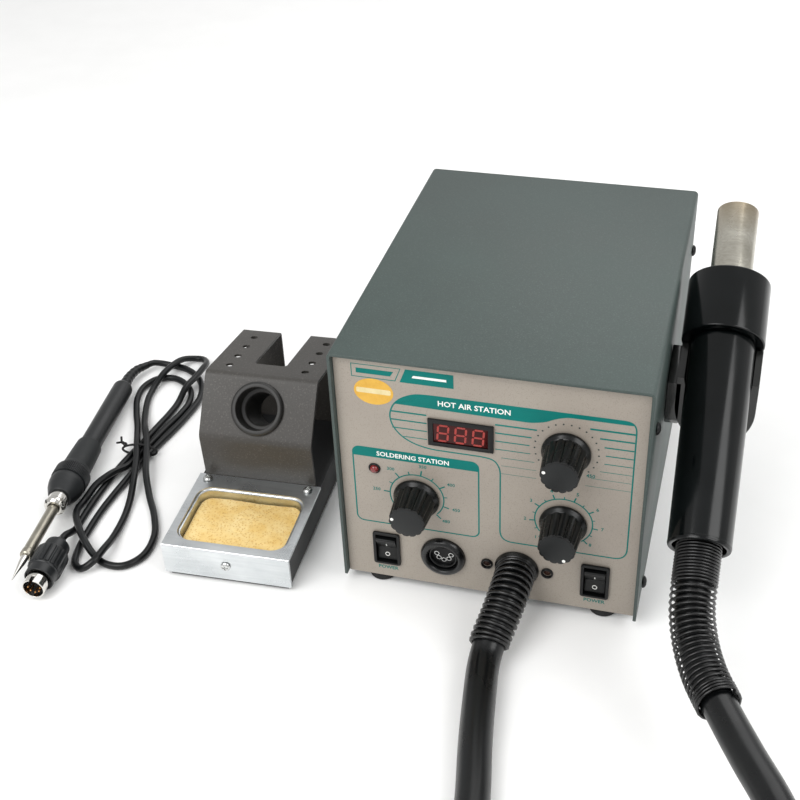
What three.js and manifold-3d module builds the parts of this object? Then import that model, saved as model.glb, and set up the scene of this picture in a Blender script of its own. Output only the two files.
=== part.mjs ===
// Two-in-one soldering and hot-air rework station with its iron, stand, gun and air hose.
// Millimetres, +Z up, table top at z = 0. The station faces -Y, with its hot-air gun on the +X side.
import * as THREE from 'three';
import { mergeVertices } from 'three/addons/utils/BufferGeometryUtils.js';
import Module from 'manifold-3d';

const wasm = await Module();
wasm.setup();

// ---------- driving dimensions ----------
const gap = 0.3; // between fixed pieces that touch
const slack = 0.5; // between pieces that move past each other

// case
const caseWidth = 188;
const caseDepth = 245;
const caseHeight = 172;
const footHeight = 7;
const footRadius = 9;
const footInset = [22, 15];
const coverWall = 2;
const sheet = 2; // panels and base tray
const panelSetback = 4.5; // front panel behind the cover's front edge
const flangeHeight = 14; // base tray's side flanges
const caseTop = footHeight + caseHeight;
const caseFront = -122.5;
const caseBack = caseFront + caseDepth;
const insideWidth = caseWidth - 2 * (coverWall + gap);
const panelFace = caseFront + panelSetback;
const panelBack = panelFace + sheet;
const rearFace = caseBack - panelSetback;
const wallX = caseWidth / 2; // outer face of the cover's side

// front panel layout: x and height of each centre
const displayAt = [-16, 130];
const lampAt = [-70.4, 95.6];
const ironKnobAt = [-44.3, 77];
const heatKnobAt = [46.2, 128.2];
const airKnobAt = [46.2, 74];
const ironSwitchAt = [-65.3, 31.8];
const airSwitchAt = [wallX - 26.9, 31.8];
const socketAt = [-28.6, 32.2];
const hoseAt = [18.5, 32];
const lockScrewSpread = 19; // each side of the hose

// panel pieces
const displaySize = [39.4, 19.4];
const displayRim = 2.6;
const switchBezel = [17.6, 26];
const switchLip = 2; // bezel past the hole in the panel
const switchMouth = [13.8, 22.6];
const rockerSize = [12.8, 20.4];
const switchDepth = 15;
const rockerTilt = THREE.MathUtils.degToRad(12);
const rockerPivotDepth = 1; // behind the panel's face
const lampRadius = 3;
const knobRadius = 14.5;
const knobTopRadius = 11.4;
const knobLength = 23.5;
const knobSkirt = 4.5;
const knobFoot = gap + slack; // clear of the panel
const shaftRadius = 3;
const shaftInKnob = 14;
const bushRadius = 3.6;
const potRadius = 8;
const boardSheet = 1.6;
const socketRadius = 14.5;
const socketLip = 2.5; // past the hole in the panel
const pinCircle = 4.6;
const lockScrewRadius = 3.8;

// air hose and its two sprung guards
const hoseRadius = 9.75;
const glandRadius = 12.6;
const panelGuardRadius = 12;
const gunGuardRadius = 13;
const handleBore = gunGuardRadius + 1.9; // the guard sits loosely in the handle

// hot-air gun, along its own axis from the hose end of the handle
const gunFoot = [wallX + 32.2, panelFace - 12, 80.7]; // centre of the handle's open end
const gunLean = 60; // degrees back from upright
const gunToeIn = 1.1; // degrees
const handleLength = 132;
const handleFootRadius = 18;
const handleTopRadius = 19.5;
const guardSeat = 12; // how far the hose guard goes into the handle
const collarRadius = handleTopRadius + 5.5;
const collarLength = 41.5;
const barrelRadius = 12.9;
const barrelWall = 1.5;
const barrelReach = 95; // from the collar's handle side
const heaterRadius = 8.5;
const heaterSeat = 60; // how far the heater goes into the handle
const holderLength = 24;
const holderWall = 4;
const holderPlay = 0.8; // round the handle
const holderDepth = 44; // below the gun's axis

// stand
const standAt = [-168.5, -142]; // middle of its front edge
const standTurn = 2.5; // degrees
const standWidth = 87;
const trayDepth = 75;
const standDepth = 183;
const trayTop = 27;
const padHeight = 3.4;
const wellSize = [73, 51];
const wellRadius = 9;
const wellDepth = 14;
const wellFront = 9;
const spongeHeight = 7.5;
const cradleWidth = 79.5;
const foldAt = [trayDepth - 1.5, 61]; // depth and height
const crestAt = [100, 97];
const tailAt = [178, 81.5];
const slotWidth = 23;
const slotFront = 119;
const slotDrop = 34; // down the cradle's back
const cupRadius = 15.8;
const cupFlange = cupRadius + 2.6;
const cupDepth = 42;
const cupThroat = 11;
const cupWall = 1.4;
const cupStep = 8; // where the cup narrows to its throat

// iron, along its own axis from the knurled ring towards the tip; it rests on that ring
const ironTurn = 7.75; // degrees
const ironRise = 2.3; // degrees, tip end up
const ringRadius = 13;
const ironRing = [-312.4, -82, ringRadius + 0.2];
const gripRadius = 9.3;
const handleRadius = 7.7;
const gripEnd = -41;
const handleEnd = -122;
const nutRadius = 7.5;
const ironBarrelRadius = 3.9;
const barrelEnd = 84.5;
const tipEnd = 108;
const reliefRadius = 4.2;
const cordRadius = 2.5;

// plug on the iron's cord
const plugAt = [-288.6, -143, 11.8]; // where the cord enters
const plugTurn = 5.5; // degrees
const plugRingRadius = 11.2;
const plugShellRadius = 7.6;
const plugBodyRadius = 7;

// ---------- helpers ----------
const group = new THREE.Group();
const axisX = new THREE.Vector3(1, 0, 0);

function solid(geometry) {
  const bare = geometry.index ? geometry.toNonIndexed() : geometry.clone();
  bare.deleteAttribute('normal');
  bare.deleteAttribute('uv');
  const welded = mergeVertices(bare, 1e-4);
  const vertProperties = new Float32Array(welded.attributes.position.array);
  const triVerts = new Uint32Array(welded.index.array);
  return new wasm.Manifold(new wasm.Mesh({ numProp: 3, vertProperties, triVerts }));
}

function surface(manifold) {
  const mesh = manifold.getMesh();
  const geometry = new THREE.BufferGeometry();
  geometry.setAttribute('position', new THREE.BufferAttribute(mesh.vertProperties, 3));
  geometry.setIndex(new THREE.BufferAttribute(mesh.triVerts, 1));
  geometry.computeVertexNormals();
  return geometry;
}

function joined(first, ...others) {
  return surface(others.reduce((body, other) => body.add(solid(other)), solid(first)));
}

function cut(body, ...tools) {
  return surface(tools.reduce((rest, tool) => rest.subtract(solid(tool)), solid(body)));
}

function add(name, geometry, material, parent = group) {
  const mesh = new THREE.Mesh(geometry, material);
  mesh.name = name;
  parent.add(mesh);
  return mesh;
}

// a box from low to high corner
function box(x0, x1, y0, y1, z0, z1) {
  const geometry = new THREE.BoxGeometry(x1 - x0, y1 - y0, z1 - z0);
  return geometry.translate((x0 + x1) / 2, (y0 + y1) / 2, (z0 + z1) / 2);
}

// a cylinder along +Z, standing on z = base
function rod(radius, base, top, sides = 20) {
  const geometry = new THREE.CylinderGeometry(radius, radius, top - base, sides);
  return geometry.rotateX(Math.PI / 2).translate(0, 0, (base + top) / 2);
}

// a closed outline of [radius, height] pairs turned about +Z
function turned(outline, sides = 24) {
  const points = outline.map(([radius, height]) => new THREE.Vector2(radius, height));
  const onAxis = outline[0][0] === 0 && outline[outline.length - 1][0] === 0;
  if (!onAxis) points.push(points[0].clone());
  return new THREE.LatheGeometry(points, sides).rotateX(Math.PI / 2);
}

function roundedRect(width, height, radius, x = 0, y = 0) {
  const shape = new THREE.Shape();
  const w = width / 2 - radius;
  const h = height / 2 - radius;
  shape.absarc(x + w, y + h, radius, 0, Math.PI / 2);
  shape.absarc(x - w, y + h, radius, Math.PI / 2, Math.PI);
  shape.absarc(x - w, y - h, radius, Math.PI, 1.5 * Math.PI);
  shape.absarc(x + w, y - h, radius, 1.5 * Math.PI, 2 * Math.PI);
  shape.closePath();
  return shape;
}

// a round hole whose flats lie outside the circle, so that what fits the circle fits the hole
function roundHole(radius, x = 0, y = 0, sides = 16) {
  const reach = radius / Math.cos(Math.PI / sides);
  return polygon([...Array(sides).keys()].map((k) => {
    const angle = (2 * Math.PI * k) / sides;
    return [x + reach * Math.cos(angle), y + reach * Math.sin(angle)];
  }));
}

function polygon(points) {
  return new THREE.Shape(points.map(([x, y]) => new THREE.Vector2(x, y)));
}

function extruded(shape, depth, curveSegments = 4) {
  return new THREE.ExtrudeGeometry(shape, { depth, bevelEnabled: false, curveSegments });
}

// turns what is drawn in XY and built up along +Z to stand in XZ and point forwards, along -Y
function facing(geometry, x, face, z) {
  return geometry.rotateX(Math.PI / 2).translate(x, face, z);
}

// turns a (depth, height) outline extruded along its own Z to run across X, centred
function across(shape, width, curveSegments = 6) {
  const geometry = extruded(shape, width, curveSegments).translate(0, 0, -width / 2);
  return geometry.rotateY(Math.PI / 2).rotateX(Math.PI / 2);
}

function tube(points, radius, sides, stepLength) {
  const route = new THREE.CatmullRomCurve3(points.map((p) => new THREE.Vector3(...p)), false, 'centripetal');
  const steps = Math.ceil(route.getLength() / stepLength);
  const ring = [...Array(sides).keys()].map((k) => {
    const angle = (2 * Math.PI * k) / sides;
    return [radius * Math.cos(angle), radius * Math.sin(angle)];
  });
  return new THREE.ExtrudeGeometry(polygon(ring), { steps, extrudePath: route });
}

function plastic(color, roughness = 0.5) {
  return new THREE.MeshStandardMaterial({ color, roughness, metalness: 0 });
}

function metal(color, roughness = 0.35) {
  return new THREE.MeshStandardMaterial({ color, roughness, metalness: 1 });
}

const coverPaint = new THREE.MeshStandardMaterial({ color: 0x4a5854, roughness: 0.55, metalness: 0.1 });
const panelPaint = new THREE.MeshStandardMaterial({ color: 0xa0988c, roughness: 0.5, metalness: 0.1 });
const standPaint = new THREE.MeshStandardMaterial({ color: 0x4c4b49, roughness: 0.6, metalness: 0.2 });
const zincSheet = metal(0x9a9c9c, 0.4);
const brightSteel = metal(0xc8c8c6, 0.25);
const trayAluminium = metal(0xc4c8c8, 0.35);
const blackPlastic = plastic(0x101214, 0.4);
const mattBlack = plastic(0x17191a, 0.65);
const rubberBlack = plastic(0x141516, 0.8);
const screwBlack = metal(0x1a1a1a, 0.4);
const boardGreen = plastic(0x1f5b34, 0.5);
const copperWire = metal(0x9c5a2c, 0.4);
const lensRed = plastic(0xa01412, 0.15);
const lampRed = plastic(0xc01c18, 0.2);
const ceramicWhite = plastic(0xd8d2c4, 0.6);
const spongeYellow = plastic(0xe8c46a, 0.95);

// ---------- case ----------
function coverScrews() {
  const places = [[caseFront + 24.5, 138], [caseFront + 28.5, footHeight + 7.5], [caseBack - 9.5, 138]];
  return [1, -1].flatMap((side) => places.map(([y, z]) => ({ side, y, z })));
}
const screwShank = 1.6;
const screwHead = 4;

function makeCase() {
  const trayWidth = insideWidth;
  const trayFloor = footHeight + gap;
  const trayFront = panelBack + gap;
  const trayRear = rearFace - sheet - gap;
  const half = trayWidth / 2;
  const channel = polygon([
    [-half, trayFloor], [half, trayFloor],
    [half, trayFloor + flangeHeight], [half - sheet, trayFloor + flangeHeight],
    [half - sheet, trayFloor + sheet], [sheet - half, trayFloor + sheet],
    [sheet - half, trayFloor + flangeHeight], [-half, trayFloor + flangeHeight],
  ]);
  const tray = facing(extruded(channel, trayRear - trayFront), 0, trayRear, 0);
  const outer = new THREE.Shape();
  const bend = 3;
  outer.moveTo(-wallX, footHeight);
  outer.lineTo(-wallX + coverWall, footHeight);
  outer.lineTo(-wallX + coverWall, caseTop - coverWall);
  outer.lineTo(wallX - coverWall, caseTop - coverWall);
  outer.lineTo(wallX - coverWall, footHeight);
  outer.lineTo(wallX, footHeight);
  outer.absarc(wallX - bend, caseTop - bend, bend, 0, Math.PI / 2);
  outer.absarc(bend - wallX, caseTop - bend, bend, Math.PI / 2, Math.PI);
  const shell = facing(extruded(outer, caseDepth, 4), 0, caseBack, 0);
  const screws = coverScrews();
  const holes = screws.map(({ side, y, z }) => {
    const reach = coverWall + 2;
    const hole = rod(screwShank + gap, -reach, reach, 10).rotateY(Math.PI / 2);
    return hole.translate(side * (wallX - coverWall / 2), y, z);
  });
  const trayHoles = holes.map((hole) => hole.clone());
  add('base_tray', cut(tray, ...trayHoles), zincSheet);
  add('top_cover', cut(shell, ...holes), coverPaint);
  screws.forEach(({ side, y, z }, index) => {
    const screw = turned([[0, -3], [screwShank, -3], [screwShank, 0], [screwHead, 0], [3, 1.7], [0, 2.4]], 10);
    screw.rotateY((side * Math.PI) / 2).translate(side * (wallX + gap), y, z);
    add(`cover_screw_${index + 1}`, screw, screwBlack);
  });
  const footX = caseWidth / 2 - footInset[0];
  const footFront = caseFront + footInset[1];
  const footBack = caseBack - footInset[1];
  [[-footX, footFront], [footX, footFront], [-footX, footBack], [footX, footBack]].forEach(([x, y], index) => {
    const foot = turned([
      [0, 0], [footRadius - 1, 0], [footRadius, 1], [footRadius - 1.5, footHeight], [0, footHeight],
    ], 12);
    add(`foot_${index + 1}`, foot.translate(x, y, 0), rubberBlack);
  });
}

function panelSheet() {
  const low = footHeight + gap;
  const high = caseTop - coverWall - gap;
  const half = insideWidth / 2;
  return polygon([[-half, low], [half, low], [half, high], [-half, high]]);
}

function hole(shape, outline) {
  shape.holes.push(outline);
}

function makeFrontPanel() {
  const shape = panelSheet();
  const [displayW, displayH] = displaySize;
  hole(shape, roundedRect(displayW - 3, displayH - 3, 1, ...displayAt));
  hole(shape, roundHole(lampRadius, ...lampAt));
  [ironKnobAt, heatKnobAt, airKnobAt].forEach((at) => hole(shape, roundHole(bushRadius + gap, ...at)));
  [ironSwitchAt, airSwitchAt].forEach((at) => {
    hole(shape, roundedRect(switchBezel[0] - switchLip, switchBezel[1] - switchLip, 1, ...at));
  });
  hole(shape, roundHole(socketRadius - socketLip, ...socketAt));
  hole(shape, roundHole(hoseRadius + gap, ...hoseAt));
  [-1, 1].forEach((side) => {
    hole(shape, roundHole(2.3, hoseAt[0] + side * lockScrewSpread, hoseAt[1]));
  });
  add('front_panel', facing(extruded(shape, sheet, 1), 0, panelBack, 0), panelPaint);
}

function ventSlot(x, z) {
  return box(x - 22, x + 22, rearFace - 5, rearFace + 5, z - 2, z + 2);
}

const inletSize = [27, 20];
const inletMouth = [21, 13];
const inletDepth = 22;
const inletAt = [-52, 40];
function makeRearPanel() {
  const shape = panelSheet();
  hole(shape, roundedRect(inletSize[0] + 2 * gap, inletSize[1] + 2 * gap, 2, ...inletAt));
  const slots = [];
  for (let row = 0; row < 6; row += 1) {
    for (let column = 0; column < 2; column += 1) {
      slots.push(ventSlot(14 + 52 * column, 100 + 9 * row));
    }
  }
  add('rear_panel', cut(facing(extruded(shape, sheet, 2), 0, rearFace, 0), ...slots), zincSheet);
}

// ---------- inside the case ----------
function makeInsides() {
  const floor = footHeight + gap + sheet + gap;
  const coreDepth = 58;
  const coilOut = 14; // past the core, front and back
  const coreFront = panelBack + 136;
  const core = box(-72, -8, coreFront, coreFront + coreDepth, floor, floor + 54);
  const coil = box(-62, -18, coreFront - coilOut, coreFront + coreDepth + coilOut, floor + 12, floor + 42);
  add('transformer', joined(core, coil), copperWire);
  const pumpRadius = 30;
  const pumpLength = 62;
  const pumpFront = panelBack + 130;
  const pumpBody = rod(pumpRadius, 0, pumpLength, 20).rotateX(-Math.PI / 2);
  pumpBody.translate(42, pumpFront, floor + pumpRadius + 6);
  const pumpBase = box(12, 72, pumpFront + 8, pumpFront + pumpLength - 8, floor, floor + 14);
  add('air_pump', joined(pumpBody, pumpBase), mattBlack);
  const boardFace = panelBack + 26;
  const boardHalf = insideWidth / 2 - 7.7;
  const boardTop = boardFace + boardSheet;
  const board = box(-boardHalf, boardHalf, boardFace, boardTop, floor + flangeHeight, floor + caseHeight - 22);
  const parts = [
    box(-70, -40, boardTop - gap, boardFace + 16, floor + 90, floor + 116),
    box(-10, 18, boardTop - gap, boardFace + 24, floor + 62, floor + 98),
    box(40, 62, boardTop - gap, boardFace + 12, floor + 96, floor + 130),
  ];
  add('control_board', joined(board, ...parts), boardGreen);
  const [inletX, inletZ] = inletAt;
  const inletBody = extruded(roundedRect(...inletSize, 2), inletDepth, 2);
  const inlet = facing(inletBody, inletX, rearFace + 2 * gap, inletZ);
  const flange = facing(extruded(roundedRect(inletSize[0] + 12, inletSize[1] + 6, 3), 2.5, 3),
    inletX, rearFace + gap + 2.5, inletZ);
  const mouth = box(inletX - inletMouth[0] / 2, inletX + inletMouth[0] / 2, rearFace - 14, rearFace + 6,
    inletZ - inletMouth[1] / 2, inletZ + inletMouth[1] / 2);
  add('mains_inlet', cut(joined(inlet, flange), mouth), blackPlastic);
}

// ---------- front panel pieces ----------
function makeDisplay() {
  const [width, height] = displaySize;
  const frame = roundedRect(width, height, 1.2);
  frame.holes.push(roundedRect(width - 2 * displayRim - 2, height - 2 * displayRim - 1, 0.8));
  const front = panelFace - gap;
  add('display_frame', facing(extruded(frame, 1.2, 3), displayAt[0], front, displayAt[1]), blackPlastic);
  const lens = roundedRect(width - 3 - 2 * gap, height - 3 - 2 * gap, 0.8);
  const step = roundedRect(width - 2 * displayRim - 2 - 2 * gap, height - 2 * displayRim - 1 - 2 * gap, 0.6);
  const lensBody = facing(extruded(lens, 8, 3), displayAt[0], panelBack + 6, displayAt[1]);
  const lensStep = facing(extruded(step, 3, 3), displayAt[0], panelFace + 2, displayAt[1]);
  add('display_lens', joined(lensBody, lensStep), lensRed);
  const lamp = turned([
    [0, -8], [lampRadius - gap, -8], [lampRadius - gap, 0.6], [2.2, 2], [1.2, 2.7], [0, 2.9],
  ], 14);
  add('indicator_lamp', facing(lamp, lampAt[0], panelFace, lampAt[1]), lampRed);
}

function makeSwitch(name, [x, z]) {
  const bezel = facing(extruded(roundedRect(...switchBezel, 1.5), 2), x, panelFace - gap, z);
  const bodyW = switchBezel[0] - switchLip - 2 * gap;
  const bodyH = switchBezel[1] - switchLip - 2 * gap;
  const rear = panelFace + switchDepth - gap;
  const body = facing(extruded(roundedRect(bodyW, bodyH, 0.8), switchDepth + gap), x, rear, z);
  const front = panelFace - gap - 3;
  const mouth = box(x - switchMouth[0] / 2, x + switchMouth[0] / 2, front, panelFace + 9,
    z - switchMouth[1] / 2, z + switchMouth[1] / 2);
  add(`${name}_housing`, surface(solid(bezel).add(solid(body)).subtract(solid(mouth))), blackPlastic);
  // drawn level: a shallow V face, then tilted so that its upper half stands proud
  const half = rockerSize[1] / 2;
  const side = polygon([
    [-half, 2.75], [1 - half, 3.3], [0, 0.8], [half - 1, 3.3], [half, 2.75],
    [half - 1.5, -5], [1.5 - half, -5],
  ]);
  const rocker = across(side, rockerSize[0]);
  rocker.rotateX(Math.PI / 2 + rockerTilt);
  add(`${name}_rocker`, rocker.translate(x, panelFace + rockerPivotDepth, z), mattBlack);
}

function makePotAndKnob(name, [x, z], pointerAngle) {
  const bushTop = sheet + gap;
  const shaftTop = bushTop + knobFoot + shaftInKnob;
  const pot = turned([
    [0, -9], [potRadius, -9], [potRadius, 0], [bushRadius, 0], [bushRadius, bushTop],
    [shaftRadius, bushTop], [shaftRadius, shaftTop], [0, shaftTop],
  ], 20);
  add(`${name}_pot`, facing(pot, x, panelBack + gap, z), brightSteel);
  const outline = [
    [0, 0], [knobRadius, 0], [knobRadius, 1.6], [knobRadius - 1.8, knobSkirt],
    [knobTopRadius + 0.4, knobLength - 1], [knobTopRadius - 0.6, knobLength], [0, knobLength],
  ];
  const knob = cut(turned(outline, 24), rod(shaftRadius + gap, -1, shaftInKnob + slack, 20));
  const pointer = box(-0.8, 0.8, 5, knobTopRadius - 1.5, knobLength - 0.5, knobLength + 0.4);
  pointer.rotateZ(pointerAngle - Math.PI / 2);
  add(`${name}_knob`, facing(joined(knob, pointer), x, panelFace - knobFoot, z), mattBlack);
}

function makeSocket() {
  const [x, z] = socketAt;
  const outline = [
    [0, -12], [socketRadius - socketLip - gap, -12], [socketRadius - socketLip - gap, sheet + gap],
    [socketRadius, sheet + gap], [socketRadius, sheet + gap + 1.5], [socketRadius - 1.5, sheet + gap + 4],
    [plugShellRadius + 2, sheet + gap + 4], [plugShellRadius + 2, sheet + gap - 5], [0, sheet + gap - 5],
  ];
  const body = turned(outline, 24);
  const holes = [...Array(5).keys()].map((k) => {
    const angle = Math.PI * (k / 4);
    const pin = rod(1.1, sheet + gap - 10, sheet + gap - 4, 8);
    return pin.translate(pinCircle * Math.cos(angle), -pinCircle * Math.sin(angle), 0);
  });
  add('iron_socket', facing(cut(body, ...holes), x, panelBack, z), blackPlastic);
}

// ---------- air hose outlet ----------
// the guard's middle line, from the hose outlet's centre on the panel
const panelGuardRoute = [
  [0, -3.9, 0], [-0.1, -10, -0.1], [-1.1, -22, -3], [-3.9, -37, -10.8], [-6.2, -46.5, -16.1],
  [-6.6, -50.6, -18.1],
].map(([x, y, z]) => [hoseAt[0] + x, panelFace + y, hoseAt[1] + z]);
function makeHoseOutlet() {
  const [x, z] = hoseAt;
  const gland = turned([
    [0, -6], [hoseRadius, -6], [hoseRadius, sheet + gap], [glandRadius - 1, sheet + gap],
    [glandRadius, sheet + gap + 1], [glandRadius - 0.6, sheet + gap + 3], [0, sheet + gap + 3],
  ], 20);
  add('hose_gland', facing(gland, x, panelBack, z), mattBlack);
  add('panel_guard', tube(panelGuardRoute, panelGuardRadius, 12, 8), mattBlack);
  [-1, 1].forEach((side, index) => {
    const screw = turned([
      [0, -4], [2, -4], [2, sheet + gap], [lockScrewRadius, sheet + gap], [lockScrewRadius, sheet + gap + 1.6],
      [lockScrewRadius - 0.8, sheet + gap + 2.2], [0, sheet + gap + 2.2],
    ], 14);
    add(`pump_lock_screw_${index + 1}`, facing(screw, x + side * lockScrewSpread, panelBack, z), screwBlack);
  });
}

// ---------- hot-air gun and its holder ----------
const gun = new THREE.Group();
const collarBase = handleLength + gap;
const collarTop = collarBase + collarLength;
const barrelEndAt = collarBase + barrelReach;
function makeGun() {
  gun.position.set(...gunFoot);
  gun.rotation.set(THREE.MathUtils.degToRad(-gunLean), 0, THREE.MathUtils.degToRad(gunToeIn), 'ZYX');
  group.add(gun);
  const handle = turned([
    [0, guardSeat], [handleBore, guardSeat], [handleBore, 0], [handleFootRadius, 0],
    [handleFootRadius + 0.8, handleLength * 0.4], [handleTopRadius, handleLength * 0.8],
    [handleTopRadius, handleLength], [0, handleLength],
  ], 24);
  const heaterBase = collarBase - heaterSeat;
  const heaterBore = rod(heaterRadius + slack, heaterBase - gap, collarBase + 1, 14);
  add('gun_handle', cut(handle, heaterBore), blackPlastic, gun);
  const collar = turned([
    [barrelRadius + gap, collarBase], [collarRadius, collarBase], [collarRadius, collarTop],
    [barrelRadius + gap, collarTop],
  ], 28);
  add('gun_collar', collar, blackPlastic, gun);
  const barrel = turned([
    [barrelRadius - barrelWall, collarBase + 4], [barrelRadius, collarBase + 4],
    [barrelRadius, barrelEndAt - 0.8],
    [barrelRadius - 0.8, barrelEndAt], [barrelRadius - barrelWall, barrelEndAt],
  ], 24);
  add('gun_barrel', barrel, brightSteel, gun);
  add('gun_heater', rod(heaterRadius, heaterBase, barrelEndAt - 12, 14), ceramicWhite, gun);
}

// the sprung guard leaves the handle's open end and bends round to lie level
const gunGuardRoute = [
  [-0.2, 10.1, 5.8], [0, -7, -4], [0.1, -17, -9.7], [0.8, -32, -18.2], [5.3, -50, -26.2], [12.3, -68, -30.2],
  [21.2, -86, -30.5],
].map(([x, y, z]) => [gunFoot[0] + x, gunFoot[1] + y, gunFoot[2] + z]);
const hoseRoute = [
  [148, -217.2, 50.2], [163, -247, 52], [179, -278, 55], [199, -322, 53], [214, -368, 38], [218, -414, 18],
  [206, -458, 10.5], [174, -492, 9.85], [130, -505, 9.85], [86, -494, 9.85], [56, -462, 9.85], [42, -416, 9.85],
  [37, -366, 9.85], [32, -318, 9.85], [27, -277, 9.85], [20, -240, 9.85], [14.5, -205, 9.85], [11.7, -184, 9.9],
  [11.4, -174.3, 11.2], [11.85, -169.1, 13.6],
];
function makeHose() {
  add('gun_guard', tube(gunGuardRoute, gunGuardRadius, 12, 10), mattBlack);
  add('air_hose', tube(hoseRoute, hoseRadius, 12, 22), rubberBlack);
}

function makeHolder() {
  const inner = handleTopRadius + holderPlay;
  const outerX = inner + holderWall;
  const armTop = 2; // below the gun's axis
  const reach = 46; // along the gun's axis, before its front is cut upright
  const profile = new THREE.Shape();
  profile.moveTo(-outerX, armTop);
  profile.lineTo(-inner, armTop);
  profile.absarc(0, 0, inner, Math.PI - 0.1, 0.1, true);
  profile.lineTo(inner, armTop);
  profile.lineTo(outerX, armTop);
  profile.lineTo(outerX, holderDepth - outerX);
  profile.absarc(0, holderDepth - outerX, outerX, 0, Math.PI);
  const back = collarBase - gap - slack;
  const channel = extruded(profile, reach, 10).translate(0, 0, back - reach);
  const lean = THREE.MathUtils.degToRad(-gunLean);
  const along = (back - holderLength / 2) * Math.sin(-lean); // level distance back to the holder
  const middleX = gunFoot[0] - Math.sin(THREE.MathUtils.degToRad(gunToeIn)) * along;
  const wallFace = wallX + gap - middleX;
  const bracket = box(wallFace, -inner - 1, armTop + 4, holderDepth - 8, back - reach + 6, back);
  const place = (geometry) => geometry.rotateX(lean).translate(middleX, gunFoot[1], gunFoot[2]);
  const frontEdge = new THREE.Vector3(0, armTop, back - holderLength).applyAxisAngle(axisX, lean);
  const frontY = gunFoot[1] + frontEdge.y;
  const front = box(middleX - 2 * outerX, middleX + 2 * outerX, frontY - 2 * reach, frontY, 0, caseTop + reach);
  const body = solid(place(channel)).add(solid(place(bracket))).subtract(solid(front));
  add('gun_holder', surface(body), blackPlastic);
}

// ---------- stand ----------
const stand = new THREE.Group();
function makeStand() {
  stand.position.set(standAt[0], standAt[1], 0);
  stand.rotation.z = THREE.MathUtils.degToRad(standTurn);
  group.add(stand);
  const half = standWidth / 2;
  const wall = 1.6;
  const trayUnder = trayTop - sheet;
  // base: rubber-footed floor with two side flanges
  const baseFloor = box(-half + 1, half - 1, sheet + 2 * gap, standDepth, padHeight, padHeight + sheet);
  const pad = box(-half + 3, half - 3, sheet + 2 * gap, standDepth - 5, 0, padHeight + 0.5);
  const flanges = [-1, 1].map((side) => {
    const outer = side * (half - 1);
    const inner = side * (half - 1 - sheet);
    const [low, high] = [Math.min(outer, inner), Math.max(outer, inner)];
    return box(low, high, sheet + 2 * gap, standDepth, padHeight, trayUnder - gap);
  });
  add('stand_base', joined(baseFloor, pad, ...flanges), rubberBlack, stand);
  // bright tray with a drawn well and a folded front
  const [wellW, wellH] = wellSize;
  const wellMiddle = wellFront + wellH / 2;
  const top = box(-half, half, 0, trayDepth, trayUnder, trayTop);
  const front = box(-half, half, 0, sheet, padHeight, trayTop);
  const bowlShape = roundedRect(wellW + 2 * wall, wellH + 2 * wall, wellRadius + wall, 0, wellMiddle);
  const bowlFoot = trayTop - wellDepth - wall - 0.2;
  const bowl = extruded(bowlShape, wellDepth + wall).translate(0, 0, bowlFoot);
  const hollowShape = roundedRect(wellW, wellH, wellRadius, 0, wellMiddle);
  const hollow = extruded(hollowShape, wellDepth + 2).translate(0, 0, trayTop - wellDepth);
  const screwSpots = [[-(half - 7.5), trayDepth - 5.5], [half - 7.5, trayDepth - 5.5]];
  const screwHoles = screwSpots.map(([x, y]) => rod(1.9, trayUnder - 3, trayTop + 3, 10).translate(x, y, 0));
  const frontHole = rod(1.9, -3, 6, 10).rotateX(-Math.PI / 2).translate(0, 0, (padHeight + trayTop) / 2);
  const traySolid = solid(joined(top, front, bowl)).subtract(solid(hollow));
  const tray = [...screwHoles, frontHole].reduce((rest, tool) => rest.subtract(solid(tool)), traySolid);
  add('stand_tray', surface(tray), trayAluminium, stand);
  const screwForm = () => turned([[0, -4.5], [1.6, -4.5], [1.6, gap], [3.4, gap], [3, 1.6], [0, 2.3]], 10);
  screwSpots.forEach(([x, y], index) => {
    add(`tray_screw_${index + 1}`, screwForm().translate(x, y, trayTop), brightSteel, stand);
  });
  const frontScrew = facing(screwForm(), 0, 0, (padHeight + trayTop) / 2);
  add('tray_screw_3', frontScrew, brightSteel, stand);
  const sponge = extruded(roundedRect(wellW - 2, wellH - 2, wellRadius - 1, 0, wellMiddle), spongeHeight);
  add('sponge', sponge.translate(0, 0, trayTop - wellDepth + gap), spongeYellow, stand);
  makeCradle();
}

const faceRise = Math.atan2(crestAt[1] - foldAt[1], crestAt[0] - foldAt[0]);
const cupAt = [(foldAt[0] + crestAt[0]) / 2, (foldAt[1] + crestAt[1]) / 2];

// the bent sheet's outline, thickened inwards
function stripOutline(points, thickness) {
  const inner = points.map((point, index) => {
    const before = points[Math.max(index - 1, 0)];
    const after = points[Math.min(index + 1, points.length - 1)];
    const into = new THREE.Vector2(point[0] - before[0], point[1] - before[1]);
    const out = new THREE.Vector2(after[0] - point[0], after[1] - point[1]);
    if (into.length() === 0) into.copy(out);
    if (out.length() === 0) out.copy(into);
    const bend = Math.acos(Math.min(1, into.normalize().dot(out.normalize())));
    const bisector = into.add(out);
    const normal = new THREE.Vector2(bisector.y, -bisector.x).normalize();
    const stretch = thickness / Math.cos(bend / 2);
    return [point[0] + normal.x * stretch, point[1] + normal.y * stretch];
  });
  return polygon([...points, ...inner.reverse()]);
}

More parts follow.
